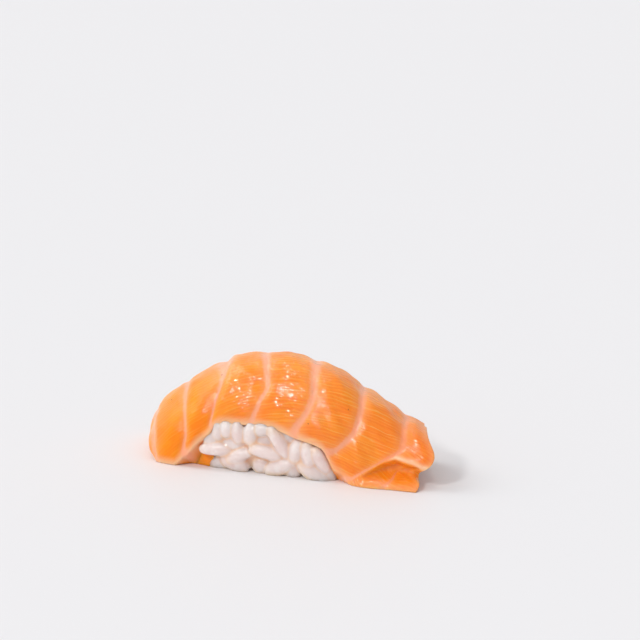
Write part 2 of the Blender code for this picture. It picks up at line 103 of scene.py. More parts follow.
def solid(name, points, quads, triangles=()):
    """Object from points, quads and triangles, with faces turned out and shaded smooth."""
    triangles = np.asarray(triangles, dtype=int).reshape(-1, 3)
    mesh = bpy.data.meshes.new(name)
    corners = np.concatenate([quads.ravel(), triangles.ravel()]).astype(np.int32)
    starts = np.concatenate([np.arange(len(quads)) * 4, len(quads) * 4 + np.arange(len(triangles)) * 3])
    mesh.vertices.add(len(points))
    mesh.vertices.foreach_set("co", np.asarray(points, dtype=np.float32).ravel())
    mesh.loops.add(len(corners))
    mesh.loops.foreach_set("vertex_index", corners)
    mesh.polygons.add(len(starts))
    mesh.polygons.foreach_set("loop_start", starts.astype(np.int32))
    mesh.update(calc_edges=True)
    mesh.validate()
    turned = bmesh.new()
    turned.from_mesh(mesh)
    bmesh.ops.recalc_face_normals(turned, faces=turned.faces)
    if turned.calc_volume(signed=True) < 0:
        bmesh.ops.reverse_faces(turned, faces=turned.faces)
    turned.to_mesh(mesh)
    turned.free()
    mesh.shade_smooth()
    made = bpy.data.objects.new(name, mesh)
    bpy.context.scene.collection.objects.link(made)
    print(name, "has", len(points), "points and", 2 * len(quads) + len(triangles), "triangles")
    return made


def paint(made, name, values):
    """Stores one number a point on the mesh, for its material to read."""
    layer = made.data.attributes.new(name, "FLOAT", "POINT")
    layer.data.foreach_set("value", np.asarray(values, dtype=np.float32).ravel())

# %% [markdown]
# ## The slice's centre line
# A draped slice is a bent sheet. Its backbone is the line along its top, from the left end that hangs down to
# the table, over the rice, and down to the right end. Twelve points in the plane of x and z give it, and a
# smooth cubic runs through them. Seen from the end the slice is an arch: a superellipse, a little squarer than
# an ellipse. The slice is cut askew, so its front edge lies further right than its back edge, which a shear
# gives: x grows with the distance to the front. The long edges are as uneven as a knife and a hand leave them,
# so their height over the table is read from a line of points. On the inner side they reach the table sooner,
# because the flesh closes round the ends of the rice.

# %% The centre line and the long edges
RIDGE = MM * np.array([(-32.8, 0.6), (-35.0, 3.8), (-34.1, 9.2), (-29.3, 14.1), (-22.8, 18.7), (-13.6, 23.8),
                       (-4.5, 25.9), (5.4, 25.6), (13.5, 23.0), (21.6, 18.4), (28.8, 14.3), (34.0, 11.9)])
SLICE_LENGTH = float(np.linalg.norm(np.diff(RIDGE, axis=0), axis=1).sum())
FRONT_HALF_WIDTH, BACK_HALF_WIDTH = 12.7 * MM, 12.6 * MM
LEFT_NARROWS, RIGHT_NARROWS_FRONT, RIGHT_NARROWS_BACK = 2.6 * MM, 2.0 * MM, 1.1 * MM
LEFT_ROUNDS_FRONT, LEFT_ROUNDS_BACK = 3.8 * MM, 5.5 * MM
LEFT_NARROWS_UNTIL, LEFT_ROUNDS_UNTIL = 0.24, 0.12         # shares of the slice's length, as a is
RIGHT_NARROWS_OVER = (0.62, 0.95)
ROUNDNESS = 2.35                           # of the arch: 2 is an ellipse, more is squarer
SHEAR = 0.33                               # how far x grows for each step to the front
EDGE_LIFT = 0.15 * MM                      # the edge's least height, so that its rim has room
EDGE_SOFTNESS = 0.9 * MM                   # half the length over which the edge's corners are rounded
LOWEST_ARCH = 0.1 * MM                     # the arch's least height
EDGE_BELOW_TOP = 0.92                      # an edge never lies over this share of the arch's height
FRONT_EDGE = MM * np.array([(-23.2, 0), (-22.9, 2.0), (-20.6, 2.9), (-19.2, 5.0), (-18.0, 6.3), (-15.4, 8.2),
                            (-14.3, 10.0), (-13.0, 11.1), (-10.9, 11.5), (-5.8, 11.6), (-1.6, 11.7),
                            (1.6, 11.4), (4.1, 10.5), (6.1, 9.8), (11.4, 8.6), (13.9, 7.4), (14.7, 5.4),
                            (15.2, 3.8), (16.6, 2.9), (18.3, 2.1), (20.3, 0)])
BACK_EDGE = MM * np.array([(-22.3, 0), (-19.5, 3.4), (-16.4, 6.4), (-11.8, 9.2), (-7.0, 10.1), (-2.1, 11.0),
                           (3.4, 10.5), (8.8, 9.3), (13.1, 7.3), (17.0, 4.0), (21.6, 0)])
FRONT_EDGE_INSIDE = MM * np.array([(-15.0, 0), (-12.5, 14.0), (10.5, 14.0), (14.6, 0)])
BACK_EDGE_INSIDE = MM * np.array([(-17.5, 0), (-12.5, 12.0), (12.0, 12.0), (16.5, 0)])


def curve_through(points, t):
    """Cubic between neighbouring points, with slopes from their neighbours; t is the share of the length."""
    steps = np.linalg.norm(np.diff(points, axis=0), axis=1)
    knots = np.concatenate([[0], np.cumsum(steps)])
    slopes = np.gradient(points, knots, axis=0)
    s = np.clip(t, 0, 1) * knots[-1]
    i = np.clip(np.searchsorted(knots, s, side="right") - 1, 0, len(steps) - 1)
    h = steps[i][..., None]
    w = (s - knots[i])[..., None] / h
    return ((2 * w**3 - 3 * w**2 + 1) * points[i] + (w**3 - 2 * w**2 + w) * h * slopes[i]
            + (3 * w**2 - 2 * w**3) * points[i + 1] + (w**3 - w**2) * h * slopes[i + 1])


def centre_line(a, depth):
    """The backbone, moved in by depth along its normal, but never up where the end tucks in."""
    step = 1e-3
    along = curve_through(RIDGE, np.clip(a + step, 0, 1)) - curve_through(RIDGE, np.clip(a - step, 0, 1))
    inward = np.stack([along[..., 1], np.minimum(-along[..., 0], 0)], -1)
    inward /= np.linalg.norm(inward, axis=-1, keepdims=True)
    return curve_through(RIDGE, a) + inward * np.asarray(depth)[..., None]


def edge_height(x, front, inside=False):
    """Straight lines between the edge's points, averaged over five places to round their corners."""
    spread = x[..., None] + EDGE_SOFTNESS * np.linspace(-1, 1, 5)
    heights = [np.interp(spread, *edge.T).mean(-1)
               for edge in (FRONT_EDGE, BACK_EDGE, FRONT_EDGE_INSIDE, BACK_EDGE_INSIDE)]
    outer = np.where(front, heights[0], heights[1])
    return np.minimum(outer, np.where(front, heights[2], heights[3])) if inside else outer


def half_width(a, front):
    """Half the slice's width at a: widest in the middle, narrower at both ends."""
    w = np.where(front, FRONT_HALF_WIDTH, BACK_HALF_WIDTH)
    w = w - LEFT_NARROWS * (1 - smooth(a, 0.0, LEFT_NARROWS_UNTIL))
    w = w - np.where(front, LEFT_ROUNDS_FRONT, LEFT_ROUNDS_BACK) * (1 - smooth(a, -0.05, LEFT_ROUNDS_UNTIL))
    return w - np.where(front, RIGHT_NARROWS_FRONT, RIGHT_NARROWS_BACK) * smooth(a, *RIGHT_NARROWS_OVER)


def section(a, b, depth, side, inside):
    """Point of the arch at a: y = w sin(t)^(2/p), z = h cos(t)^(2/p), with t even steps b down to the edge."""
    front = b > 0
    sign = np.where(front, 1.0, -1.0)
    top = centre_line(a, depth)
    h = np.maximum(top[..., 1], LOWEST_ARCH)
    w = half_width(a, front) - side
    low = np.maximum(edge_height(top[..., 0] + SHEAR * w * sign, front, inside), 0 if inside else EDGE_LIFT)
    low = np.minimum(low, EDGE_BELOW_TOP * h)
    q = ROUNDNESS / 2
    turn = np.arccos(np.clip(low / h, 0, 1) ** q) * 2 / np.pi
    end = turn ** (1 / q) / (turn ** (1 / q) + (1 - turn) ** (1 / q))
    s = np.abs(b) * end
    turn = s**q / (s**q + (1 - s) ** q) * np.pi / 2
    y = w * np.sin(turn) ** (1 / q)
    z = h * np.cos(turn) ** (1 / q)
    return top[..., 0] + SHEAR * y * sign, y, z, sign

# %% [markdown]
# ## The foot and the crease
# At the right end the slice's front corner lies flat on the table and spreads into a small foot. Above it the
# soft flesh folds: a crest climbs from the front edge along the last fat line, turns down to the slice's end,
# and the flesh under it sinks in before it comes out again on the foot. So we give the crest's height over the
# table along the slice, swell the side a little there, and pull it in between the crest and the foot. The end
# itself bows out over the fold and steps back under it, and the left end has a rounded corner.

# %% The two faces of the slice
FOOT_GROWS, FOLD_GROWS, TIP_GROWS = (0.70, 0.84), (0.755, 0.88), (0.84, 1.0)      # shares of the length
FOOT_REACH, FOOT_HEIGHT = 2.8 * MM, 5.9 * MM
FOOT_REACH_INSIDE, FOOT_HEIGHT_INSIDE = 1.4 * MM, 4.5 * MM
# the crest's place along the slice, as a share, and its height in mm
CREST = np.array([(0.755, 0.9), (0.81, 3.0), (0.87, 5.9), (0.90, 6.9), (0.94, 6.2), (0.98, 5.2), (1.0, 4.9)])
CREST_REACH, CREST_WIDTH = 0.7 * MM, 1.8 * MM
CREASE_DEPTH, CREASE_STARTS = 3.0 * MM, 0.30       # full from this share of the crest's height under it
FOOT_LOW, FOOT_HIGH = 0.5 * MM, 3.3 * MM           # and it fades out over the foot
LEFT_CORNER, LEFT_CORNER_UNTIL = 3.4 * MM, 0.17
LEFT_CORNER_OVER = (0.55, 1.05)            # share of the way from the centre line to the edge
TIP_REACH, TIP_HEIGHT, TIP_WIDTH = 2.3 * MM, 7.6 * MM, 3.2 * MM
NOTCH_DEPTH, NOTCH_HEIGHT, NOTCH_WIDTH = 4.0 * MM, 3.2 * MM, 1.4 * MM
FOOT_CORNER = 1.4 * MM
TOP_THICKNESS, TOP_THICKENS_LEFT, TOP_THINS_RIGHT = 4.1 * MM, 2.6 * MM, 1.1 * MM
SIDE_THICKNESS, SIDE_THICKENS_LEFT, SIDE_THICKENS_RIGHT = 1.5 * MM, 1.9 * MM, 1.7 * MM
TOP_LEFT_UNTIL, TOP_RIGHT_FROM = 0.25, 0.8
SIDE_LEFT_OVER, SIDE_RIGHT_OVER = (0.22, 0.36), (0.6, 0.8)


def slice_outer(a, b):
    """Outer face: the arch, plus foot and crest, less the crease, each a curve of z that grows along a."""
    x, y, z, sign = section(a, b, np.zeros_like(a), 0.0, False)
    front = b > 0
    foot = FOOT_REACH * np.clip(1 - z / FOOT_HEIGHT, 0, 1) ** 1.5 * smooth(a, *FOOT_GROWS)
    crest_height = np.interp(a, CREST[:, 0], CREST[:, 1] * MM)
    crest = CREST_REACH * bump(z, crest_height, CREST_WIDTH)
    crease = CREASE_DEPTH * smooth(1 - z / crest_height, 0, CREASE_STARTS) * smooth(z, FOOT_LOW, FOOT_HIGH)
    y = y + (foot + (crest - crease) * smooth(a, *FOLD_GROWS)) * front
    tip = TIP_REACH * bump(z, TIP_HEIGHT, TIP_WIDTH)
    notch = NOTCH_DEPTH * bump(z, NOTCH_HEIGHT, NOTCH_WIDTH) + FOOT_CORNER * bump(z, 0, NOTCH_WIDTH)
    x = x + (tip - notch) * smooth(a, *TIP_GROWS) * front
    x = x + LEFT_CORNER * smooth(b, *LEFT_CORNER_OVER) ** 2 * (1 - smooth(a, 0, LEFT_CORNER_UNTIL))
    return np.stack([x, -sign * y, z], -1)


def thickness(a):
    """How far the inner face lies under the top and in from the sides."""
    depth = TOP_THICKNESS + TOP_THICKENS_LEFT * (1 - smooth(a, 0, TOP_LEFT_UNTIL))
    side = SIDE_THICKNESS + SIDE_THICKENS_LEFT * (1 - smooth(a, *SIDE_LEFT_OVER))
    depth = depth - TOP_THINS_RIGHT * smooth(a, TOP_RIGHT_FROM, 1)
    return depth, side + SIDE_THICKENS_RIGHT * smooth(a, *SIDE_RIGHT_OVER)


def slice_inner(a, b):
    """Inner face: the same arch, lower by the top's thickness and narrower by the side's."""
    x, y, z, sign = section(a, b, *thickness(a), True)
    y = y + FOOT_REACH_INSIDE * np.clip(1 - z / FOOT_HEIGHT_INSIDE, 0, 1) * smooth(a, *FOOT_GROWS) * (b > 0)
    return np.stack([x, -sign * y, z], -1)

# %% [markdown]
# ## Fat lines and fibres
# Salmon muscle grows in bands, with thin sheets of white fat between them. Cut across, the sheets show as pale
# lines that run down the slice and bend to the left near its front edge. Between two lines the flesh swells a
# little, and it steps up to the right of a line. We give each line by how far along the slice it lies at six
# places between the centre line and the long edge, with its width there. The muscle fibres cross from line to
# line and follow the length of the slice, so the fibre number of a point is how far down the side it lies. Each
# band has its own slight tilt, because each is a muscle of its own.

# %% Lines across the flesh
LINE_KNOTS = np.array([0, 0.45, 0.65, 0.8, 0.92, 1])
FAT_LINES = MM * np.array([(10.1, 9.9, 9.8, 9.9, 10.5, 11.4), (20.6, 20.6, 20.9, 21.2, 20.4, 21.4),
                           (32.8, 32.1, 30.8, 29.6, 28.5, 29.4), (43.1, 43.7, 44.0, 42.0, 40.5, 39.7),
                           (56.0, 55.5, 55.3, 53.5, 51.0, 50.2), (68.9, 68.2, 66.2, 63.0, 59.7, 58.5),
                           (81.1, 79.9, 78.4, 73.6, 67.9, 63.6), (96.0, 93.0, 88.0, 83.0, 77.8, 75.2)])
LINE_WIDTHS = MM * np.array([(3.4, 3.4, 3.2, 2.8, 2.2, 1.6), (1.9, 1.1, 0.9, 0.9, 1.2, 2.8),
                             (6.5, 1.7, 0.9, 0.8, 0.8, 1.0), (2.2, 1.8, 1.2, 1.1, 1.3, 1.6),
                             (2.9, 2.1, 1.7, 1.6, 1.9, 2.5), (2.0, 1.7, 1.3, 1.1, 1.1, 1.2),
                             (1.6, 1.4, 1.1, 0.9, 0.9, 1.6), (0.01, 0.01, 0.01, 0.01, 0.9, 1.7)])
LINE_SOFTNESS = 0.03                   # the bends of a line are rounded over this share of the way
# the tilt of the fibres in each band; the depth of the dip at each line; the step up to its right
TILTS = np.array([0.1, 0.1, 0.08, 0.10, 0.08, 0.26, 0.20, -0.30, -0.2])
GROOVES = MM * np.array([0.15, 0.2, 0.15, 0.1, 0.2, 0.25, 0.2, 0.1])
GROOVE_WIDTH = 1.4 * MM
STEPS_UP = MM * np.array([0.2, 0.3, 0.8, 0.0, 0.15, 0.1, 0.1, 0.0])
STEP_RISES, STEP_LASTS = 3.2 * MM, 6.0 * MM
BULGE = 0.36 * MM                          # of a band between its two lines
FIRST_BAND, LAST_BAND = -5.4 * MM, 112.0 * MM      # where the bands at the two ends would begin and end


def across_lines(b, table):
    """Each line's number at b: straight between its knots, averaged over three places to round its bends."""
    spread = np.abs(b)[..., None] + LINE_SOFTNESS * np.array([-1, 0, 1])
    return np.stack([np.interp(np.abs(spread), LINE_KNOTS, row).mean(-1) for row in table], -1)


def bands(a, b):
    """Ends of the bands at b, the share across its band at a, and the band's number."""
    places = across_lines(b, FAT_LINES)
    ends = np.concatenate([np.full_like(places[..., :1], FIRST_BAND), places,
                           np.full_like(places[..., :1], LAST_BAND)], -1)
    shares = np.clip(((a * SLICE_LENGTH)[..., None] - ends[..., :-1]) / np.diff(ends, axis=-1), 0, 1)
    number = np.minimum(shares.sum(-1).astype(int), len(FAT_LINES))
    return ends, shares.sum(-1) % 1, number


def relief(a, b):
    """Half a sine wave from line to line, plus a fading step right of a line, less a bell-shaped dip at it."""
    ends, share, _ = bands(a, b)
    past = (a * SLICE_LENGTH)[..., None] - ends[..., 1:-1]
    steps = STEPS_UP * smooth(past, 0, STEP_RISES) * np.exp(-np.maximum(past, 0) / STEP_LASTS)
    return BULGE * np.sin(np.pi * share) ** 0.8 + (steps - GROOVES * bump(past, 0, GROOVE_WIDTH)).sum(-1)


def fat(a, b):
    """Distance to the nearest line in half line widths."""
    s = (a * SLICE_LENGTH)[..., None]
    return (np.abs(s - across_lines(b, FAT_LINES)) / (across_lines(b, LINE_WIDTHS).clip(0.01 * MM) / 2)).min(-1)


def fibre_number(a, b, down):
    """Distance down the side, plus the band's tilt times the distance from where the band starts."""
    ends, _, number = bands(a, b)
    start = np.take_along_axis(ends, number[..., None], -1)[..., 0]
    return down + TILTS[number] * (a * SLICE_LENGTH - start)

# %% [markdown]
# ## The slice as one closed surface
# The slice has an outer face, an inner face and a cut edge all round. Both faces use the same two parameters,
# so the cut edge is easy: each point of the rim runs on half an ellipse from the outer row to the inner row.
# Where an edge is tall, at the ends of the rice, it is hollowed a little instead. The corners, where two rims
# meet, are filled with small quads. A few slow waves make the surface as uneven as soft flesh, and nothing may
# sink under the table.

# %% Build the slice
SLICE_STEPS = (286, 161)                   # points along the slice and across it
RIM_STEPS = 6
RIM_BULGE, RIM_BULGE_MOST = 0.18, 0.35 * MM        # how far the cut edge stands out, as a share of its thickness
RIM_UNDERCUT = 0.45                        # how far a tall edge is hollowed, as a share of its height
EDGE_THINS = 0.12                      # share of the width over which the bands flatten towards an edge
ENDS_THIN = 0.04                       # share of the length over which they flatten towards an end
UNEVEN = 0.10 * MM
UNEVEN_WAVES, UNEVEN_SEED = 14, 5
SHORTEST_WAVE, LONGEST_WAVE = 4, 12    # mm


def normals(grid):
    """Unit vector across two neighbouring steps of the grid."""
    n = np.cross(np.gradient(grid, axis=1), np.gradient(grid, axis=0))
    return n / np.maximum(np.linalg.norm(n, axis=-1, keepdims=True), 1e-12)


def unevenness(s, down):
    """Sum of sine waves 4 to 12 mm long in seeded directions over the slice."""
    rng = np.random.default_rng(UNEVEN_SEED)
    lengths = rng.uniform(SHORTEST_WAVE, LONGEST_WAVE, UNEVEN_WAVES) * MM
    turns = rng.uniform(0, np.pi, UNEVEN_WAVES)
    phases = rng.uniform(0, 2 * np.pi, UNEVEN_WAVES)
    total = np.zeros_like(s)
    for length, turn, phase in zip(lengths, turns, phases):
        total += np.sin((s * np.cos(turn) + down * np.sin(turn)) * 2 * np.pi / length + phase)
    return total / np.sqrt(UNEVEN_WAVES / 2)


def rim(outer, inner, inward):
    """Points on half ellipses from outer to inner, bowed away from inward, and hollowed where tall."""
    away = outer - inward
    away /= np.maximum(np.linalg.norm(away, axis=-1, keepdims=True), 1e-9)
    thick = np.linalg.norm(outer - inner, axis=-1, keepdims=True)
    bulge = np.minimum(RIM_BULGE * thick, RIM_BULGE_MOST)
    tall = np.maximum(outer[..., 2] - inner[..., 2] - SIDE_THICKNESS, 0)
    hollow = np.stack([0 * tall, -np.sign(outer[..., 1]) * RIM_UNDERCUT * tall, 0 * tall], -1)
    angles = np.pi * np.arange(1, RIM_STEPS) / RIM_STEPS
    middle, reach, bow = (outer + inner) / 2, (outer - inner) / 2, away * bulge + hollow
    return np.stack([middle + reach * np.cos(t) + bow * np.sin(t) for t in angles])


def slice_faces():
    """The parameters a and b, the two faces with the relief on the outer one, and the distance down the side."""
    a, b = np.meshgrid(np.linspace(0, 1, SLICE_STEPS[0]), np.linspace(-1, 1, SLICE_STEPS[1]), indexing="ij")
    outer, inner = slice_outer(a, b), slice_inner(a, b)
    steps = np.linalg.norm(np.diff(outer, axis=1), axis=-1)
    down = np.concatenate([np.zeros_like(a[:, :1]), np.cumsum(steps, 1)], 1)
    down = down - down[:, SLICE_STEPS[1] // 2, None]
    fade = smooth(1 - np.abs(b), 0.0, EDGE_THINS) * smooth(a, 0, ENDS_THIN) * smooth(1 - a, 0, ENDS_THIN)
    lift = relief(a, b) * fade + UNEVEN * (unevenness(a * SLICE_LENGTH, down) - 1) * fade
    return a, b, outer + normals(outer) * lift[..., None], inner, down


def close_slice(outer, inner):
    """Joins the two faces by four rims, and fills the corners between two rims with rows of quads."""
    front, rear = rim(outer[:, -1], inner[:, -1], outer[:, -2]), rim(outer[:, 0], inner[:, 0], outer[:, 1])
    left, right = rim(outer[0], inner[0], outer[1]), rim(outer[-1], inner[-1], outer[-2])
    parts = [outer, inner, front, rear, left, right]
    points = np.concatenate([part.reshape(-1, 3) for part in parts])
    points[:, 2] = np.maximum(points[:, 2], 0)
    starts = np.cumsum([0] + [part.size // 3 for part in parts])
    o, u, f, k, e, r = (start + np.arange(part.size // 3).reshape(part.shape[:-1])
                        for start, part in zip(starts, parts))
    strips = [o, u[::-1], np.vstack([o[:, -1], f, u[:, -1]]), np.vstack([o[:, 0], k, u[:, 0]])[::-1],
              np.vstack([o[0], e, u[0]])[::-1], np.vstack([o[-1], r, u[-1]])]
    fills = [np.column_stack([np.hstack([o[i, j], one[:, i], u[i, j]]),
                              np.hstack([o[i, j], two[:, j], u[i, j]])])
             for i, j, one, two in ((0, -1, f, e), (0, 0, k, e), (-1, -1, f, r), (-1, 0, k, r))]
    quads = [quads_between(rows) for rows in strips + [fill[1:-1] for fill in fills]]
    tips = [tip for fill in fills
            for tip in ((fill[0, 0], fill[1, 0], fill[1, 1]), (fill[-1, 0], fill[-2, 1], fill[-2, 0]))]
    return solid("salmon_slice", points, np.concatenate(quads), tips)


a, b, outer, inner, down = slice_faces()
salmon = close_slice(outer, inner)

# %% [markdown]
# ## Numbers for the finish
# The finish has to know where a point lies: how near a fat line, how far along and down the slice, on which
# fibre, how near an edge, on the crest or in the crease, and whether it is on the inner face. Each is worked out
# for both faces and goes evenly from the one to the other on the rims.

# %% Store the numbers
FAR_FROM_EDGE = 4                          # mm, what the inner face gets
# where the painted highlight lies along the crest of the fold
CREST_HIGHLIGHT_OVER, CREST_HIGHLIGHT_UP, CREST_HIGHLIGHT_WIDTH = (0.87, 0.90), 0.2 * MM, 0.6 * MM
SUNK_OVER, SUNK_HEIGHTS = 0.5 * MM, (1.0 * MM, 3.0 * MM)


def everywhere(values, inside=None):
    """Values of the faces, and on the rims a share that goes evenly from the outer value to the inner."""
    inside = values if inside is None else inside
    share = (np.arange(1, RIM_STEPS) / RIM_STEPS)[:, None]
    rows = [(part[:, -1], part[:, 0], part[0], part[-1]) for part in (values, inside)]
    edges = [one * (1 - share) + two * share for one, two in zip(*rows)]
    return np.concatenate([part.ravel() for part in [values, inside] + edges])


to_edge = np.minimum(np.minimum(down[:, -1:] - down, down - down[:, :1]), (1 - a) * SLICE_LENGTH) / MM
height = outer[..., 2]
crest_height = np.interp(a, CREST[:, 0], CREST[:, 1] * MM)
# the crest of the fold gets a painted highlight
crest = smooth(a, *CREST_HIGHLIGHT_OVER) * bump(height, crest_height + CREST_HIGHLIGHT_UP, CREST_HIGHLIGHT_WIDTH) * (b > 0)
# the crease under the crest, where painted light lifts the shade
sunk_painted_light = smooth(a, *FOLD_GROWS) * smooth(crest_height - height, 0, SUNK_OVER) * (b > 0)
paint(salmon, "fat", everywhere(fat(a, b)))
paint(salmon, "along", everywhere(a * SLICE_LENGTH / MM))
paint(salmon, "down", everywhere(down / MM))
paint(salmon, "fibre", everywhere(fibre_number(a, b, down) / MM))
paint(salmon, "edge", everywhere(to_edge, 0 * a + FAR_FROM_EDGE))
paint(salmon, "crest", everywhere(crest))
paint(salmon, "sunk_painted_light", everywhere(sunk_painted_light * smooth(height, *SUNK_HEIGHTS)))
paint(salmon, "inside", everywhere(0 * a, 0 * a + 1))
print("the side is", round(float(down[:, -1].max()) / MM, 1), "mm long from the centre line to the front edge")

# %% [markdown]
# ## A recipe for a material
# A Blender material is a graph of nodes. A small class adds one node a call and links what it gets, so the steps
# that follow read like a recipe: take noise, ramp it, mix two colours by it. Colours are given as they look on a
# screen and turned into the linear values that light uses.

# %% Helpers for materials
def colour(red, green, blue):
    """Colour picked on a screen, turned into the linear values that light uses."""
    screen = np.array([red, green, blue]) / 255
    linear = np.where(screen <= 0.04045, screen / 12.92, ((screen + 0.055) / 1.055) ** 2.4)
    return (*[float(v) for v in linear], 1)


class Recipe:
    """A material's nodes, added one at a time by plain calls."""

    def __init__(self, name):
        self.material = bpy.data.materials.new(name)
        self.material.use_nodes = True
        self.tree = self.material.node_tree
        self.shader = self.tree.nodes["Principled BSDF"]

    def put(self, socket, value):
        if isinstance(value, bpy.types.NodeSocket):
            self.tree.links.new(value, socket)
        else:
            socket.default_value = value

    def add(self, kind, output=0, settings=(), **inputs):
        """One node; i0, i1, … are inputs by number, and the others are by name."""
        node = self.tree.nodes.new(kind)
        for key, value in dict(settings).items():
            setattr(node, key, value)
        for key, value in inputs.items():
            numbered = key[0] == "i" and key[1:].isdigit()
            self.put(node.inputs[int(key[1:]) if numbered else key.replace("_", " ")], value)
        return node.outputs[output]

    def stored(self, name):
        return self.add("ShaderNodeAttribute", "Fac", settings={"attribute_name": name})

    def math(self, operation, one, two=0.0, three=0.0):
        return self.add("ShaderNodeMath", settings={"operation": operation}, i0=one, i1=two, i2=three)

    def times(self, one, two):
        return self.math("MULTIPLY", one, two)

    def vector(self, x, y):
        return self.add("ShaderNodeCombineXYZ", X=x, Y=y)

    def noise(self, vector, scale=1.0, detail=2.0, rough=0.5):
        return self.add("ShaderNodeTexNoise", "Fac", Vector=vector, Scale=scale, Detail=detail, Roughness=rough)

    def ramp(self, value, low, high, start=0.0, end=1.0):
        """start below low, end above high, and a smooth step between them."""
        return self.add("ShaderNodeMapRange", settings={"interpolation_type": "SMOOTHSTEP"}, Value=value,
                        i1=low, i2=high, i3=start, i4=end)

    def mix(self, share, one, two):
        return self.add("ShaderNodeMix", 2, settings={"data_type": "RGBA"}, i0=share, i6=one, i7=two)

    def bumps(self, height, distance, strength=1.0):
        return self.add("ShaderNodeBump", Strength=strength, Distance=distance, Height=height)

    def finish(self, **inputs):
        for key, value in inputs.items():
            self.put(self.shader.inputs[key.replace("_", " ")], value)
        return self.material

# %% [markdown]
# ## Flesh and fibres
# The flesh is orange in slow patches of two depths. The right end is painted a darker, redder orange: painted
# shade, as that end faces away from the light. Over the flesh run the muscle fibres: a fine sine wave of the
# fibre number, which noise bends and breaks up, with pale threads on its tops and darker troughs between them.
# They are faint at the left end and full from the middle on. Near the centre line the left half is pink: partly
# the flesh's own paler tone and partly a painted reflection of the pale room, where the surface turns towards the
# outline.

# %% The colour of the flesh
FLESH = colour(255, 150, 16)
FLESH_DEEP = colour(253, 138, 12)
# painted shade: the right end, which faces away from the light, is painted this darker orange
FLESH_END_SHADE, END_SHADE_SHARE = colour(238, 116, 20), 0.45
FLESH_PALE, THREAD_SHARE = colour(255, 180, 84), 0.75
FLESH_DARK, TROUGH_SHARE = colour(242, 118, 8), 0.60
# the ridge's pink is partly the flesh's own paler tone and partly a painted reflection of the pale room
RIDGE_PINK_AND_SHEEN, RIDGE_SHARE, RIDGE_REACH = colour(255, 160, 104), 0.60, 4.5      # mm down from the centre line
FIBRE_PITCH = 0.85                         # mm from fibre to fibre
FIBRE_BEND = 12.0                          # radians by which noise shifts the wave at most
FAINT_FIBRES = 0.35
FIBRES_GROW, END_SHADE_GROWS, RIDGE_FADES = (28.0, 58.0), (74.0, 84.0), (26.0, 42.0)        # mm along the slice


def fibre_wave(r, along, fibre):
    """Half plus half the sine of the fibre number over the pitch, with noise added to the angle."""
    bend = r.noise(r.vector(r.times(along, 0.13), r.times(fibre, 0.50)))
    turns = r.math("ADD", r.times(fibre, 2 * math.pi / FIBRE_PITCH), r.times(bend, FIBRE_BEND))
    return r.math("MULTIPLY_ADD", r.math("SINE", turns), 0.5, 0.5)


def flesh_colour(r, along, down, fibre, wave):
    """Two oranges by slow noise; troughs, threads, the end's painted shade, the ridge's pink and painted sheen.
    """
    breaks = r.noise(r.vector(r.times(along, 0.10), r.times(fibre, 0.8)))
    strong = r.ramp(along, *FIBRES_GROW, FAINT_FIBRES, 1.0)
    threads = r.times(r.times(r.ramp(wave, 0.60, 1.0), r.ramp(breaks, 0.40, 0.66)), strong)
    troughs = r.times(r.times(r.ramp(wave, 0.45, 0.0), r.ramp(breaks, 0.62, 0.38)), strong)
    patches = r.noise(r.vector(r.times(along, 0.10), r.times(down, 0.14)))
    flesh = r.mix(r.ramp(patches, 0.35, 0.65), FLESH_DEEP, FLESH)
    flesh = r.mix(r.times(troughs, TROUGH_SHARE), flesh, FLESH_DARK)
    flesh = r.mix(r.times(threads, THREAD_SHARE), flesh, FLESH_PALE)
    # painted shade: a darker orange over the right end
    flesh = r.mix(r.ramp(along, *END_SHADE_GROWS, 0.0, END_SHADE_SHARE), flesh, FLESH_END_SHADE)
    # pink near the centre line on the left: the flesh's own tone and a painted reflection
    ridge_pink_and_sheen = r.times(r.ramp(down, 0.0, RIDGE_REACH, 1.0, 0.0), r.ramp(along, *RIDGE_FADES, 1.0, 0.0))
    return r.mix(r.times(ridge_pink_and_sheen, RIDGE_SHARE), flesh, RIDGE_PINK_AND_SHEEN)

# %% [markdown]
# ## Fat and edges
# A fat line is a soft pale core with ragged sides and a wide faint halo, because the sheet of fat runs on
# slantwise under the surface. Its stored distance gives both, moved in and out by noise. The long edges are
# painted paler: painted light for what comes through thin flesh, which also lifts the shade where an edge turns
# under. The crest of the fold gets a painted highlight, the crease under it a brighter orange as painted light
# against its shade, and the inner face a paler orange against the shade under the slice. The lines at the right
# end are painted darker and yellower, as shade on the end that faces away from the light.

# %% The colour of fat and edges
# the second fat colour is painted shade for the lines at the right end, which faces away from the light
FAT, FAT_END_SHADE, FAT_SHARE = colour(255, 176, 142), colour(252, 158, 112), 0.88
FAT_SOFT, HALO_SHARE = colour(255, 162, 100), 0.40
FAT_CORE, FAT_HALO = (0.35, 1.55), (0.9, 4.2)      # in half widths of the line
RAGGEDNESS = 1.1                           # in half widths too, from the innermost to the outermost
# painted light: the long edges and the crest of the fold are painted paler with this colour
EDGE_GLOW, EDGE_GLOW_SHARE, EDGE_GLOW_SHARE_RIGHT, EDGE_GLOW_REACH = colour(255, 200, 162), 0.8, 0.3, 2.3      # mm
# how much of the painted highlight the crest gets
CREST_HIGHLIGHT_SHARE = 0.9
# painted light: a brighter orange that lifts the shade in the crease under the crest
SUNK_PAINTED_LIGHT, SUNK_LIGHT_SHARE = colour(255, 160, 46), 0.6
# the inner face's own orange, painted paler to lift the shade under the slice
FLESH_INSIDE_LIT, INSIDE_SHARE = colour(255, 146, 34), 0.9
FAT_SHADE_GROWS, EDGE_GLOW_FADES = (62.0, 76.0), (56.0, 66.0)     # mm along the slice


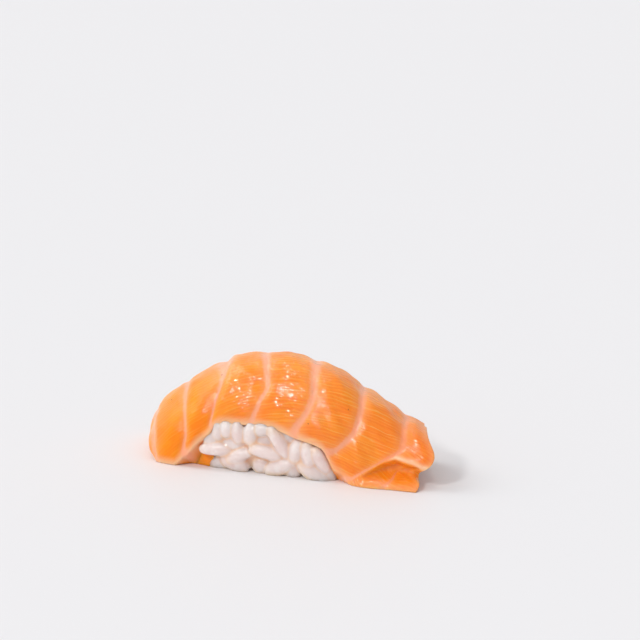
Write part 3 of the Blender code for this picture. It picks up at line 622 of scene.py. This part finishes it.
def fat_distance(r, skin):
    """Distance to the nearest fat line in half widths, plus noise between minus and plus half the raggedness."""
    ragged = r.math("MULTIPLY_ADD", r.noise(skin, 1.3, 3.0, 0.6), RAGGEDNESS, -RAGGEDNESS / 2)
    return r.math("ADD", r.stored("fat"), ragged)


def with_fat(r, flesh, along, reach):
    """In order over the flesh: halo, painted light at edges, crest and crease, fat lines, the paler inner face.
    """
    flesh = r.mix(r.times(r.ramp(reach, *FAT_HALO, 1.0, 0.0), HALO_SHARE), flesh, FAT_SOFT)
    # painted light along the long edges, weaker at the right end
    edge_glow = r.ramp(r.stored("edge"), 0.0, EDGE_GLOW_REACH, EDGE_GLOW_SHARE, 0.0)
    flesh = r.mix(r.times(edge_glow, r.ramp(along, *EDGE_GLOW_FADES, 1.0, EDGE_GLOW_SHARE_RIGHT)), flesh, EDGE_GLOW)
    # painted highlight on the crest of the fold
    flesh = r.mix(r.times(r.stored("crest"), CREST_HIGHLIGHT_SHARE), flesh, EDGE_GLOW)
    # painted light in the crease under the crest
    flesh = r.mix(r.times(r.stored("sunk_painted_light"), SUNK_LIGHT_SHARE), flesh, SUNK_PAINTED_LIGHT)
    # painted shade: the fat lines turn darker towards the right end
    fat_tone = r.mix(r.ramp(along, *FAT_SHADE_GROWS), FAT, FAT_END_SHADE)
    flesh = r.mix(r.times(r.ramp(reach, *FAT_CORE, 1.0, 0.0), FAT_SHARE), flesh, fat_tone)
    # the inner face: its own orange, painted paler against the shade under the slice
    return r.mix(r.ramp(r.stored("inside"), 0.3, 0.8, 0.0, INSIDE_SHARE), flesh, FLESH_INSIDE_LIT)

# %% [markdown]
# ## Wet salmon
# Light enters raw flesh a few millimetres deep, so its edges glow paler and its shadows stay warm: subsurface
# scattering gives that. The flesh itself is rather dull, and a thin wet coat over it shines. Small beads in the
# coat's own bump break each highlight into sparks. The coat is thinner at the left end, and it fades where the
# surface turns away from us, as it would otherwise draw a grey line along the outline. A few small dark specks
# lie on the flesh, in some cells of an uneven grid.

# %% The salmon's finish
SPECK, SPECK_SHARE = colour(120, 50, 20), 0.75
SPECK_GRID = 5.5                           # mm between the cells that may hold a speck
SPECK_CELLS_EMPTY = 0.72                   # share of the cells that hold none
SPECK_RADIUS = (0.035, 0.06)               # in cells
SHINE_TINT = colour(255, 200, 170)
COAT_TURNS_AWAY, COAT_LEAST = (0.55, 0.92), 0.1
COAT_LEFT, COAT_GROWS = 0.35, (24.0, 36.0)     # mm along the slice
BEADS_CLOSER_DOWN = 2.3                    # the beads are this much longer along the fibres
BUMP_HEIGHT, BEAD_HEIGHT = 0.16 * MM, 0.14 * MM
LUMPS, RIDGES = 0.9, 0.22                  # shares of the bump: lumps, and ridges of the fibres


def with_specks(r, flesh, skin):
    """Dark dots at the middle of the cells whose random colour is over the share that stays empty."""
    cells = r.tree.nodes.new("ShaderNodeTexVoronoi")
    cells.inputs["Scale"].default_value = 1 / SPECK_GRID
    r.put(cells.inputs["Vector"], skin)
    drawn = r.add("ShaderNodeSeparateColor", Color=cells.outputs["Color"])
    dot = r.times(r.ramp(cells.outputs["Distance"], *SPECK_RADIUS, 1.0, 0.0),
                  r.math("GREATER_THAN", drawn, SPECK_CELLS_EMPTY))
    return r.mix(r.times(dot, SPECK_SHARE), flesh, SPECK)


def salmon_finish():
    """The colour by its steps, a bump of lumps and fibres, and a coat with a bump of beads."""
    r = Recipe("wet_salmon")
    along, down, fibre = r.stored("along"), r.stored("down"), r.stored("fibre")
    skin = r.vector(along, down)
    reach = fat_distance(r, skin)
    wave = fibre_wave(r, along, fibre)
    flesh = with_fat(r, flesh_colour(r, along, down, fibre, wave), along, reach)
    ridges = r.times(r.times(wave, r.ramp(reach, 1.0, 2.0)), RIDGES)
    surface = r.math("ADD", r.times(r.noise(skin, 0.9), LUMPS), ridges)
    beads = r.noise(r.vector(along, r.times(fibre, BEADS_CLOSER_DOWN)), 1.0, 0.0)
    turned_away = r.ramp(r.add("ShaderNodeLayerWeight", "Facing"), *COAT_TURNS_AWAY, 1.0, COAT_LEAST)
    wet = r.ramp(along, *COAT_GROWS, COAT_LEFT, 1.0)
    return r.finish(Base_Color=with_specks(r, flesh, skin), Normal=r.bumps(surface, BUMP_HEIGHT), Roughness=0.40,
                    Subsurface_Weight=0.70, Subsurface_Scale=0.8 * MM, Subsurface_Radius=(1.8, 1.3, 0.9),
                    Subsurface_Anisotropy=0.3, IOR=1.34, Specular_IOR_Level=0.35, Specular_Tint=SHINE_TINT,
                    Coat_Weight=r.times(turned_away, wet), Coat_Roughness=0.05, Coat_IOR=1.47,
                    Coat_Normal=r.bumps(beads, BEAD_HEIGHT))


salmon.data.materials.append(salmon_finish())
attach(salmon, "root")
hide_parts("salmon")

# %% [markdown]
# ## The block of rice
# The pressed block is a rounded bar under the slice: a superellipse section carried along a superellipse. It is
# the ground on which the grains sit. What would stand through the slice is pulled in under its arch.

# %% The block under the grains
RICE_LEFT, RICE_RIGHT = -22.6 * MM, 24.3 * MM
RICE_HALF_WIDTH = 10.2 * MM
RICE_BELLY = 6.7 * MM                      # the height at which the block is widest
RICE_TOP = 23.0 * MM
RICE_BELOW = 9.0 * MM                      # the section's height under the belly, cut off by the table
RICE_SQUARENESS, RICE_END_SQUARENESS = 2.6, 3.0
BLOCK_SHRINKS = 0.2 * MM                   # all round, so that the grains stand out
FRONT_FILLS = 1.4 * MM                 # the front stands out this much further between the grains
FRONT_STARTS, FRONT_FULL = 4 * MM, 9 * MM          # which it does between these distances from the middle
END_HEIGHT, END_CLOSES = 0.35, 3                   # the block keeps this share of its height near its ends
BLOCK_STEPS = (61, 72)
UNDER_SLICE = 0.3 * MM                     # room between the rice and the slice's inner face
COVERED_FROM, COVERED_TO = -0.05 * MM, 0.6 * MM    # heights over the slice's edge


def rice_skin(u, t, shrink):
    """Bar along x: end e = (1 - |u|^n)^(1/n) closes it, y = w e cos(t)^(2/p), z = belly + h sin(t)^(2/p)."""
    middle, half = (RICE_LEFT + RICE_RIGHT) / 2, (RICE_RIGHT - RICE_LEFT) / 2 - shrink
    end = np.maximum(1 - np.abs(u) ** RICE_END_SQUARENESS, 0) ** (1 / RICE_END_SQUARENESS)
    c, s = np.cos(t), np.sin(t)
    q = 2 / RICE_SQUARENESS
    tall = np.where(s > 0, RICE_TOP - RICE_BELLY - shrink, RICE_BELOW)
    y = (RICE_HALF_WIDTH - shrink) * end * np.sign(c) * np.abs(c) ** q
    tall = tall * (END_HEIGHT + (1 - END_HEIGHT) * end)
    z = RICE_BELLY + tall * np.sign(s) * np.abs(s) ** q * np.minimum(end * END_CLOSES, 1)
    return np.stack([middle + half * u, y, z], -1)


def keep_under_slice(points):
    """Above the slice's edge, moves points in until (y/w)^p + (z/h)^p of the slice's inner arch is under 1."""
    a = np.linspace(0.12, 1, 400)
    depth, side = thickness(a)
    line = centre_line(a, depth + UNDER_SLICE)
    front = points[..., 1] < 0
    y = np.abs(points[..., 1])
    x = points[..., 0] - SHEAR * y * np.where(front, 1, -1)
    h = np.interp(x, line[:, 0], line[:, 1])
    place = np.interp(x, line[:, 0], a)
    w = half_width(place, front) - np.interp(place, a, side) - UNDER_SLICE
    out = ((y / w) ** ROUNDNESS + (np.maximum(points[..., 2], 0) / h) ** ROUNDNESS) ** (1 / ROUNDNESS)
    edge = edge_height(points[..., 0], front)
    covered = smooth(points[..., 2], edge + COVERED_FROM, edge + COVERED_TO)
    pull = 1 - (1 - np.minimum(1 / np.maximum(out, 1e-6), 1)) * covered
    moved = points.copy()
    moved[..., 1] *= pull
    moved[..., 2] = np.maximum(points[..., 2] * pull, 0)
    return moved


def block_surface():
    """Points, quads and triangles of the block."""
    u = np.sin(np.linspace(-np.pi / 2, np.pi / 2, BLOCK_STEPS[0]))[1:-1]
    t = np.linspace(0, 2 * np.pi, BLOCK_STEPS[1] + 1)[:-1]
    rings = rice_skin(*np.meshgrid(u, t, indexing="ij"), BLOCK_SHRINKS)
    rings[..., 1] -= FRONT_FILLS * smooth(-rings[..., 1], FRONT_STARTS, FRONT_FULL)
    rings = keep_under_slice(rings)
    index = np.arange(rings.size // 3).reshape(rings.shape[:-1])
    index = np.concatenate([index, index[:, :1]], 1)
    tips = np.array([[RICE_LEFT + BLOCK_SHRINKS, 0, RICE_BELLY], [RICE_RIGHT - BLOCK_SHRINKS, 0, RICE_BELLY]])
    last = index.max() + 1
    fans = [np.column_stack([np.full(BLOCK_STEPS[1], last + n), row[:-1], row[1:]])
            for n, row in ((0, index[0][::-1]), (1, index[-1]))]
    return np.concatenate([rings.reshape(-1, 3), tips]), quads_between(index), np.concatenate(fans)


block_points, block_quads, block_fans = block_surface()
print("the block has", len(block_points), "points")

# %% [markdown]
# ## The grains
# A cooked grain of short-grain rice is a plump, slightly bent spindle about 7 mm long and 3 mm wide. Those that
# show at the front are placed as in the photograph. The others follow a rule: staggered rows round the block,
# each grain moved and turned by a seeded draw. One unit grain is a grid of rings on the unit sphere, pulled
# long, and an array of places, directions and sizes multiplies it.

# %% Place the grains
GRAIN_LENGTH, GRAIN_WIDTH, GRAIN_FLATNESS = 7.2 * MM, 3.0 * MM, 0.86
GRAIN_COLUMNS = 23                         # grains in each row round the block
GRAIN_HEIGHTS = MM * np.array([1.5, 4.4, 7.3, 10.2, 12.9])
GRAIN_SINKS, GRAIN_STANDS = 0.55 * MM, 0.22 * MM           # how deep and how proud a grain may sit
GRAIN_SHIFTS_UP, GRAIN_SHIFTS_ALONG = 0.45 * MM, 0.28       # the second in columns
GRAIN_TILT = 0.25
GRAIN_SIZES, GRAIN_SHORTENS = (0.86, 1.08), (0.85, 1.0)
RING_POINTS, TANGENT_STEPS = 720, 4
OUT_TURNS_UP = 0.6
FACES_FRONT = -0.7                         # a grain under this y of its outward direction is behind a front one
SEED = 11
# x, y and z of the middle and the length in mm, and the turn in degrees
FRONT_GRAINS = [(-14.0, -11.6, 4.8, 7.9, 4), (-13.3, -11.1, 10.0, 6.2, 84), (-11.0, -11.4, 11.0, 6.2, 93),
                (-8.1, -11.5, 9.9, 6.4, 95), (-5.0, -11.6, 10.0, 6.4, 86), (-2.1, -11.4, 10.7, 3.8, 10),
                (2.0, -11.6, 8.2, 8.3, -57), (-1.4, -11.7, 5.3, 7.8, -12), (-8.1, -11.4, 3.5, 6.9, 27),
                (-9.2, -11.0, 1.7, 7.2, -17), (2.4, -11.4, 2.2, 7.8, 20), (10.6, -11.4, 1.6, 7.8, -23),
                (6.3, -11.3, 6.2, 5.9, 76), (9.4, -11.6, 5.8, 6.2, -80), (12.5, -11.6, 4.9, 6.7, -55),
                (-2.6, -10.4, 1.5, 4.3, -8), (5.5, -10.6, 1.2, 4.3, 80), (-2.4, -10.2, 7.8, 6.2, 10),
                (-9.5, -10.7, 6.5, 7.2, 22), (-15.0, -10.9, 7.2, 4.3, 40), (14.3, -10.3, 2.0, 4.8, -70),
                (4.2, -10.3, 10.7, 6.2, -40), (-13.2, -9.8, 1.3, 5.6, 8)]
FRONT_GRAIN_WIDTH = 3.2 * MM
FRONT_SINKS = 0.7 * MM                     # the rule's own grains sit deeper behind the front ones
STANDS_OVER = 0.5 * MM                 # a front grain ends this far over the slice's edge, in front of it
SIDES_START = 7.0 * MM                     # the rule's grains on the long sides stay between these two x
SIDES_LEFT, SIDES_RIGHT = -15.5 * MM, 14.0 * MM


def block_ring(ratio):
    """The block's outline at a share of its height, a superellipse drawn in there, and its running length."""
    middle = np.array([(RICE_LEFT + RICE_RIGHT) / 2, 0.0])
    half = np.array([(RICE_RIGHT - RICE_LEFT) / 2, RICE_HALF_WIDTH])
    inset = (1 - abs(ratio) ** RICE_SQUARENESS) ** (1 / RICE_SQUARENESS)
    turn = np.linspace(0, 2 * np.pi, RING_POINTS, endpoint=False)
    circle = np.stack([np.cos(turn), np.sin(turn)], -1)
    loop = middle + half * [inset**0.5, inset] * (np.sign(circle) * np.abs(circle) ** (2 / RICE_END_SQUARENESS))
    steps = np.linalg.norm(np.diff(loop, axis=0, append=loop[:1]), axis=1)
    return loop, np.concatenate([[0], np.cumsum(steps)])


def unit(vector):
    """The vector divided by its length."""
    return vector / np.linalg.norm(vector)


def places_round_block():
    """Staggered rows round the block: each grain lies flat on it, turned and tilted by a seeded draw."""
    rng = np.random.default_rng(SEED)
    places = []
    for row, height in enumerate(GRAIN_HEIGHTS):
        ratio = (height - RICE_BELLY) / (RICE_TOP - RICE_BELLY if height > RICE_BELLY else RICE_BELOW)
        loop, run = block_ring(ratio)
        for column in range(GRAIN_COLUMNS):
            shifted = column + 0.5 * (row % 2) + rng.uniform(-GRAIN_SHIFTS_ALONG, GRAIN_SHIFTS_ALONG)
            i = int(np.searchsorted(run, shifted / GRAIN_COLUMNS % 1 * run[-1])) % RING_POINTS
            tangent = unit(loop[(i + TANGENT_STEPS) % RING_POINTS] - loop[i - TANGENT_STEPS])
            out = unit(np.array([tangent[1], -tangent[0], ratio**3 * OUT_TURNS_UP]))
            around = np.array([tangent[0], tangent[1], 0.0])
            turn = rng.uniform(0, np.pi)
            along = around * math.cos(turn) + np.cross(out, around) * math.sin(turn)
            along = unit(along + out * rng.uniform(-GRAIN_TILT, GRAIN_TILT))
            out = unit(out - along * (out @ along))
            centre = np.array([loop[i][0], loop[i][1], height + rng.uniform(-1, 1) * GRAIN_SHIFTS_UP])
            centre += out * (rng.uniform(-GRAIN_SINKS, GRAIN_STANDS) - FRONT_SINKS * (out[1] < FACES_FRONT))
            size = rng.uniform(*GRAIN_SIZES)
            length = GRAIN_LENGTH * size * rng.uniform(*GRAIN_SHORTENS)
            if abs(centre[1]) < SIDES_START or SIDES_LEFT < centre[0] < SIDES_RIGHT:
                places.append((centre, along, out, length, GRAIN_WIDTH * size))
    return places


def places_in_front():
    """The grains seen from the front, shortened where a tip would stand far over the slice's edge."""
    places = []
    for x, y, z, length, turn in FRONT_GRAINS:
        along = np.array([math.cos(math.radians(turn)), 0, math.sin(math.radians(turn))])
        tip = MM * (z + length / 2 * abs(along[2]))
        over = max(tip - float(edge_height(np.array(MM * x), True)) - STANDS_OVER, 0)
        centre = MM * np.array([x, y, z]) - [0, 0, over / 2]
        places.append((centre, along, np.array([0, -1.0, 0]), MM * length - over, FRONT_GRAIN_WIDTH))
    return places


CENTRE, ALONG, OUT, LENGTH, WIDTH = (np.array(column) for column in zip(*places_round_block(),
                                                                        *places_in_front()))
SIDE = np.cross(OUT, ALONG)
print(len(CENTRE), "grains")

# %% [markdown]
# ## Sticky rice
# Pressed rice is not loose beads: its grains stick and flow into each other. So we put the block and all the
# grains into one mesh and let a voxel remesh draw a single skin round them, and then relax that skin a little,
# which rounds the creases. A single skin also keeps the light inside it honest. Before the remesh the grains are
# swollen, and after it the skin is drawn in as much: their round tops come back as they were, but the narrow
# creases between them stay filled, as with starch. Bubbles that the remesh leaves inside are dropped, by keeping
# only its largest connected part.

# %% Fuse the grains
GRAIN_STEPS = (11, 12)
GRAIN_BLUNTNESS, GRAIN_BEND, GRAIN_TAPER = 0.6, 0.2, 0.16
BEND_MIDDLE = 0.4                          # x^2 is this much on average, so a bent grain keeps its place
VOXEL = 0.25 * MM                          # the remesh's cell
RELAX_STEPS, RELAX_SHARE = 3, 0.5
STARCH = 0.34 * MM                         # what the grains are swollen by before it, and the skin drawn in after
SETTLES, SETTLES_BELOW = 0.6 * MM, 2.6 * MM      # the lowest grains are pressed flat on the table


def grain_surface():
    """Unit grain: x = -cos(s), girth = sin(s)^0.6, bent by x^2; then scaled, turned and set down."""
    rings, sides = GRAIN_STEPS
    s = np.linspace(0, np.pi, rings + 2)[1:-1, None]
    t = np.linspace(0, 2 * np.pi, sides, endpoint=False)[None]
    girth = np.sin(s) ** GRAIN_BLUNTNESS
    round_grain = np.stack(np.broadcast_arrays(-np.cos(s), girth * np.cos(t), girth * np.sin(t)), -1)
    x, y, z = np.concatenate([round_grain.reshape(-1, 3), [[-1, 0, 0], [1, 0, 0]]]).T
    rng = np.random.default_rng(SEED + 1)
    bend = rng.uniform(-GRAIN_BEND, GRAIN_BEND, len(CENTRE))[:, None]
    taper = 1 - rng.uniform(0, GRAIN_TAPER, len(CENTRE))[:, None] * x
    long, wide = LENGTH[:, None] / 2 + STARCH, WIDTH[:, None] / 2 + STARCH
    points = (CENTRE[:, None] + ALONG[:, None] * (x * long)[..., None]
              + SIDE[:, None] * ((y * taper + bend * (x**2 - BEND_MIDDLE)) * wide)[..., None]
              + OUT[:, None] * (z * taper * wide * GRAIN_FLATNESS)[..., None])
    index = np.arange(rings * sides).reshape(rings, sides)
    index = np.concatenate([index, index[:, :1]], 1)
    tips = np.concatenate([np.column_stack([np.full(sides, len(x) - 2), index[0, 1:], index[0, :-1]]),
                           np.column_stack([np.full(sides, len(x) - 1), index[-1, :-1], index[-1, 1:]])])
    shift = (np.arange(len(CENTRE)) * len(x))[:, None, None]
    quads, tips = quads_between(index)[None] + shift, tips[None] + shift
    return points.reshape(-1, 3), quads.reshape(-1, 4), tips.reshape(-1, 3)


def largest_island(count, edges):
    """True for the points of the largest part: each takes its neighbours' lowest number, over and over."""
    label = np.arange(count)
    while True:
        lowest = label.copy()
        np.minimum.at(lowest, edges[:, 0], label[edges[:, 1]])
        np.minimum.at(lowest, edges[:, 1], label[edges[:, 0]])
        lowest = lowest[lowest]
        if (lowest == label).all():
            return label == np.bincount(label).argmax()
        label = lowest


def fused_grains():
    """One voxel skin round the block and all grains: its points, edges and quads."""
    points, quads, tips = grain_surface()
    placed = len(points) // len(CENTRE) * len(FRONT_GRAINS)
    points[:-placed] = keep_under_slice(points[:-placed])
    shift = len(block_points)
    loose = solid("loose_rice", np.concatenate([block_points, points]),
                  np.concatenate([block_quads, quads + shift]), np.concatenate([block_fans, tips + shift]))
    remesh = loose.modifiers.new("fuse", "REMESH")
    remesh.mode, remesh.voxel_size = "VOXEL", VOXEL
    fused = bpy.data.meshes.new_from_object(loose.evaluated_get(bpy.context.evaluated_depsgraph_get()))
    bpy.data.objects.remove(loose)
    co = np.empty(len(fused.vertices) * 3, np.float32)
    fused.vertices.foreach_get("co", co)
    edges = np.empty(len(fused.edges) * 2, np.int32)
    fused.edges.foreach_get("vertices", edges)
    faces = np.empty(len(fused.loops), np.int32)
    fused.loops.foreach_get("vertex_index", faces)
    bpy.data.meshes.remove(fused)
    return co.reshape(-1, 3).astype(float), edges.reshape(-1, 2), faces.reshape(-1, 4)


def settle_skin(co, edges, faces):
    """Relaxes the points towards their neighbours' mean, draws the skin in, and presses its foot flat."""
    neighbours = np.bincount(edges.ravel(), minlength=len(co))[:, None]
    for _ in range(RELAX_STEPS):
        mean = np.stack([np.bincount(edges[:, 0], co[edges[:, 1], axis], len(co))
                         + np.bincount(edges[:, 1], co[edges[:, 0], axis], len(co)) for axis in range(3)], -1)
        co = co + RELAX_SHARE * (mean / neighbours - co)
    diagonals = np.cross(co[faces[:, 2]] - co[faces[:, 0]], co[faces[:, 3]] - co[faces[:, 1]])
    outward = np.stack([np.bincount(faces.ravel(), np.repeat(diagonals[:, axis], 4), len(co))
                        for axis in range(3)], -1)
    co = co - STARCH * outward / np.linalg.norm(outward, axis=1, keepdims=True)
    co[:, 2] = np.maximum(co[:, 2] - SETTLES * (1 - smooth(co[:, 2], 0, SETTLES_BELOW)), 0)
    return co


co, edges, faces = fused_grains()
kept = largest_island(len(co), edges)
renumber = np.cumsum(kept) - 1
edges, faces = renumber[edges[kept[edges[:, 0]]]], renumber[faces[kept[faces[:, 0]]]]
rice_points = settle_skin(co[kept], edges, faces)
rice = solid("rice_grains", rice_points, faces)

# %% [markdown]
# ## A tint for each grain
# Each point of the skin finds its nearest grain from the grain's own ellipsoid, for a tint a grain, and how
# close the second one is: where both are near, there is a crease. A point that lies far over its nearest grain
# is in a filled hollow. We do this in a few groups of points, because all points times all grains is a large
# array.

# %% Tint each grain and find the creases
POINT_GROUPS = 8
CREASE_WIDTH = 0.55 * MM
HOLLOW_FROM, HOLLOW_TO = -0.02 * MM, 0.35 * MM


def nearest_grains(points):
    """(|local place / half sizes| - 1) times half the width, for the two nearest grains, and the nearest."""
    rel = points[:, None] - CENTRE[None]
    local = [np.einsum("pgk,gk->pg", rel, axis) / half for axis, half in
             ((ALONG, LENGTH / 2), (SIDE, WIDTH / 2), (OUT, WIDTH / 2 * GRAIN_FLATNESS))]
    away = (np.sqrt(sum(part**2 for part in local)) - 1) * WIDTH / 2
    nearest = away.argmin(1)
    pair = np.partition(away, 1, axis=1)[:, :2]
    return pair[:, 0], pair[:, 1], nearest


near = [nearest_grains(part) for part in np.array_split(rice_points, POINT_GROUPS)]
first, second, nearest = (np.concatenate(column) for column in zip(*near))
grain_tints = np.random.default_rng(SEED + 2).uniform(0, 1, len(CENTRE))
paint(rice, "tint", grain_tints[nearest])
# the crease and hollow numbers say where the rice gets its painted warm light
paint(rice, "crease", 1 - smooth(second - first, 0.0, CREASE_WIDTH))
paint(rice, "hollow", smooth(first, HOLLOW_FROM, HOLLOW_TO))
print("share of the rice's points in a crease:", round(float((second - first < CREASE_WIDTH / 2).mean()), 2))

# %% [markdown]
# ## Cooked rice
# A cooked grain is milky: light goes in, scatters and comes out softly, and the wet surface gives small sharp
# glints. Subsurface scattering with a white colour does it. Each grain has its own slight tint. The creases and
# hollows between the grains are painted a warm light tan: painted light, for the warm glow that comes through the
# grains and off the salmon into them.

# %% The rice's finish
GRAIN_WHITE = colour(233, 219, 215)
GRAIN_ROSY = colour(228, 204, 199)
GRAIN_MILKY, MILKY_SHARE = colour(252, 248, 246), 0.35
# painted light: the creases and hollows are painted a warm tan, for light through the grains and off the salmon
CREASE_WARM_LIGHT, CREASE_LIGHT_SHARE = colour(240, 206, 182), 0.2
HOLLOW_WARM_LIGHT, HOLLOW_LIGHT_SHARE = colour(242, 204, 168), 0.8
CLOUDS, GRAININESS, BEADS = 420.0, 900.0, 1500.0       # noise cells a metre
GRAININESS_HEIGHT, BEADS_HEIGHT = 0.10 * MM, 0.14 * MM


def rice_finish():
    """Two whites by tint, milky clouds, painted warm light in creases and hollows, and a coat with fine beads."""
    r = Recipe("cooked_rice")
    place = r.add("ShaderNodeTexCoord", "Object")
    tone = r.mix(r.stored("tint"), GRAIN_WHITE, GRAIN_ROSY)
    tone = r.mix(r.ramp(r.noise(place, CLOUDS), 0.4, 0.7, 0.0, MILKY_SHARE), tone, GRAIN_MILKY)
    # painted warm light in the creases and hollows
    tone = r.mix(r.times(r.stored("crease"), CREASE_LIGHT_SHARE), tone, CREASE_WARM_LIGHT)
    tone = r.mix(r.times(r.stored("hollow"), HOLLOW_LIGHT_SHARE), tone, HOLLOW_WARM_LIGHT)
    grainy = r.bumps(r.noise(place, GRAININESS), GRAININESS_HEIGHT, 0.8)
    beads = r.bumps(r.noise(place, BEADS, 0.0), BEADS_HEIGHT)
    return r.finish(Base_Color=tone, Normal=grainy, Roughness=0.32, IOR=1.36, Subsurface_Weight=1.0,
                    Subsurface_Scale=2.2 * MM, Subsurface_Radius=(1.9, 1.9, 1.9), Coat_Weight=0.9,
                    Coat_Roughness=0.15, Coat_IOR=1.5, Coat_Normal=beads)


rice.data.materials.append(rice_finish())
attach(rice, "root")
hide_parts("rice")

# %% [markdown]
# ## The table and the light
# The piece stands on a plain pale surface in pale surroundings. The light comes from the left, so the world's
# strength falls with the direction's x and the right end is shaded, and a wide soft sun at the left throws the
# soft shadow to the right. Two small sharp lamps, one in front and a weaker one overhead, put the sparks on the
# wet flesh and grains and hardly light them otherwise.

# %% The table
TABLE_SIZE = 3.0                           # m from the middle to a side
TABLE_WHITE = colour(229, 229, 232)
table_corners = [(-TABLE_SIZE, -TABLE_SIZE, 0), (TABLE_SIZE, -TABLE_SIZE, 0), (TABLE_SIZE, TABLE_SIZE, 0),
                 (-TABLE_SIZE, TABLE_SIZE, 0)]
table_mesh = bpy.data.meshes.new("table")
table_mesh.from_pydata(table_corners, [], [(0, 1, 2, 3)])
table = bpy.data.objects.new("table", table_mesh)
bpy.context.scene.collection.objects.link(table)
table.data.materials.append(Recipe("white_table").finish(Base_Color=TABLE_WHITE, Roughness=0.6))
print("the table is", 2 * TABLE_SIZE, "m wide")

# %% The room's light
WORLD_COLOUR = (0.985, 0.985, 0.995, 1)
WORLD_LIGHT, WORLD_DARK = 0.77, 0.42       # strength all round, and towards the right
WORLD_FADES = (0.15, 0.95)                 # between these x of the direction
world = bpy.data.worlds.new("pale_room")
bpy.context.scene.world = world
world.use_nodes = True
room, sky = world.node_tree, world.node_tree.nodes["Background"]
sky.inputs["Color"].default_value = WORLD_COLOUR
coordinates = room.nodes.new("ShaderNodeTexCoord")
sideways = room.nodes.new("ShaderNodeSeparateXYZ")
fading = room.nodes.new("ShaderNodeMapRange")
for number, value in enumerate((*WORLD_FADES, WORLD_LIGHT, WORLD_DARK), 1):
    fading.inputs[number].default_value = value
room.links.new(coordinates.outputs["Generated"], sideways.inputs[0])
room.links.new(sideways.outputs["X"], fading.inputs["Value"])
room.links.new(fading.outputs[0], sky.inputs["Strength"])


def sun(name, energy, angle, towards, tone):
    """Parallel light of the given energy and apparent size in degrees that comes from a direction."""
    light = bpy.data.lights.new(name, "SUN")
    light.energy, light.angle, light.color = energy, math.radians(angle), tone
    lamp = bpy.data.objects.new(name, light)
    lamp.rotation_euler = Vector(towards).to_track_quat("Z", "Y").to_euler()
    bpy.context.scene.collection.objects.link(lamp)


sun("soft_sun", 0.80, 35, (-0.85, 0.0, 0.75), (1.0, 0.99, 0.97))
sun("ceiling_spark", 0.25, 5, (-0.15, 0.05, 0.98), (1.0, 0.96, 0.88))
sun("spark", 0.90, 8, (-0.30, -0.74, 0.62), (1.0, 0.98, 0.95))
bpy.context.scene.view_settings.view_transform = "Standard"
print("the room's light falls from", WORLD_LIGHT, "to", WORLD_DARK)
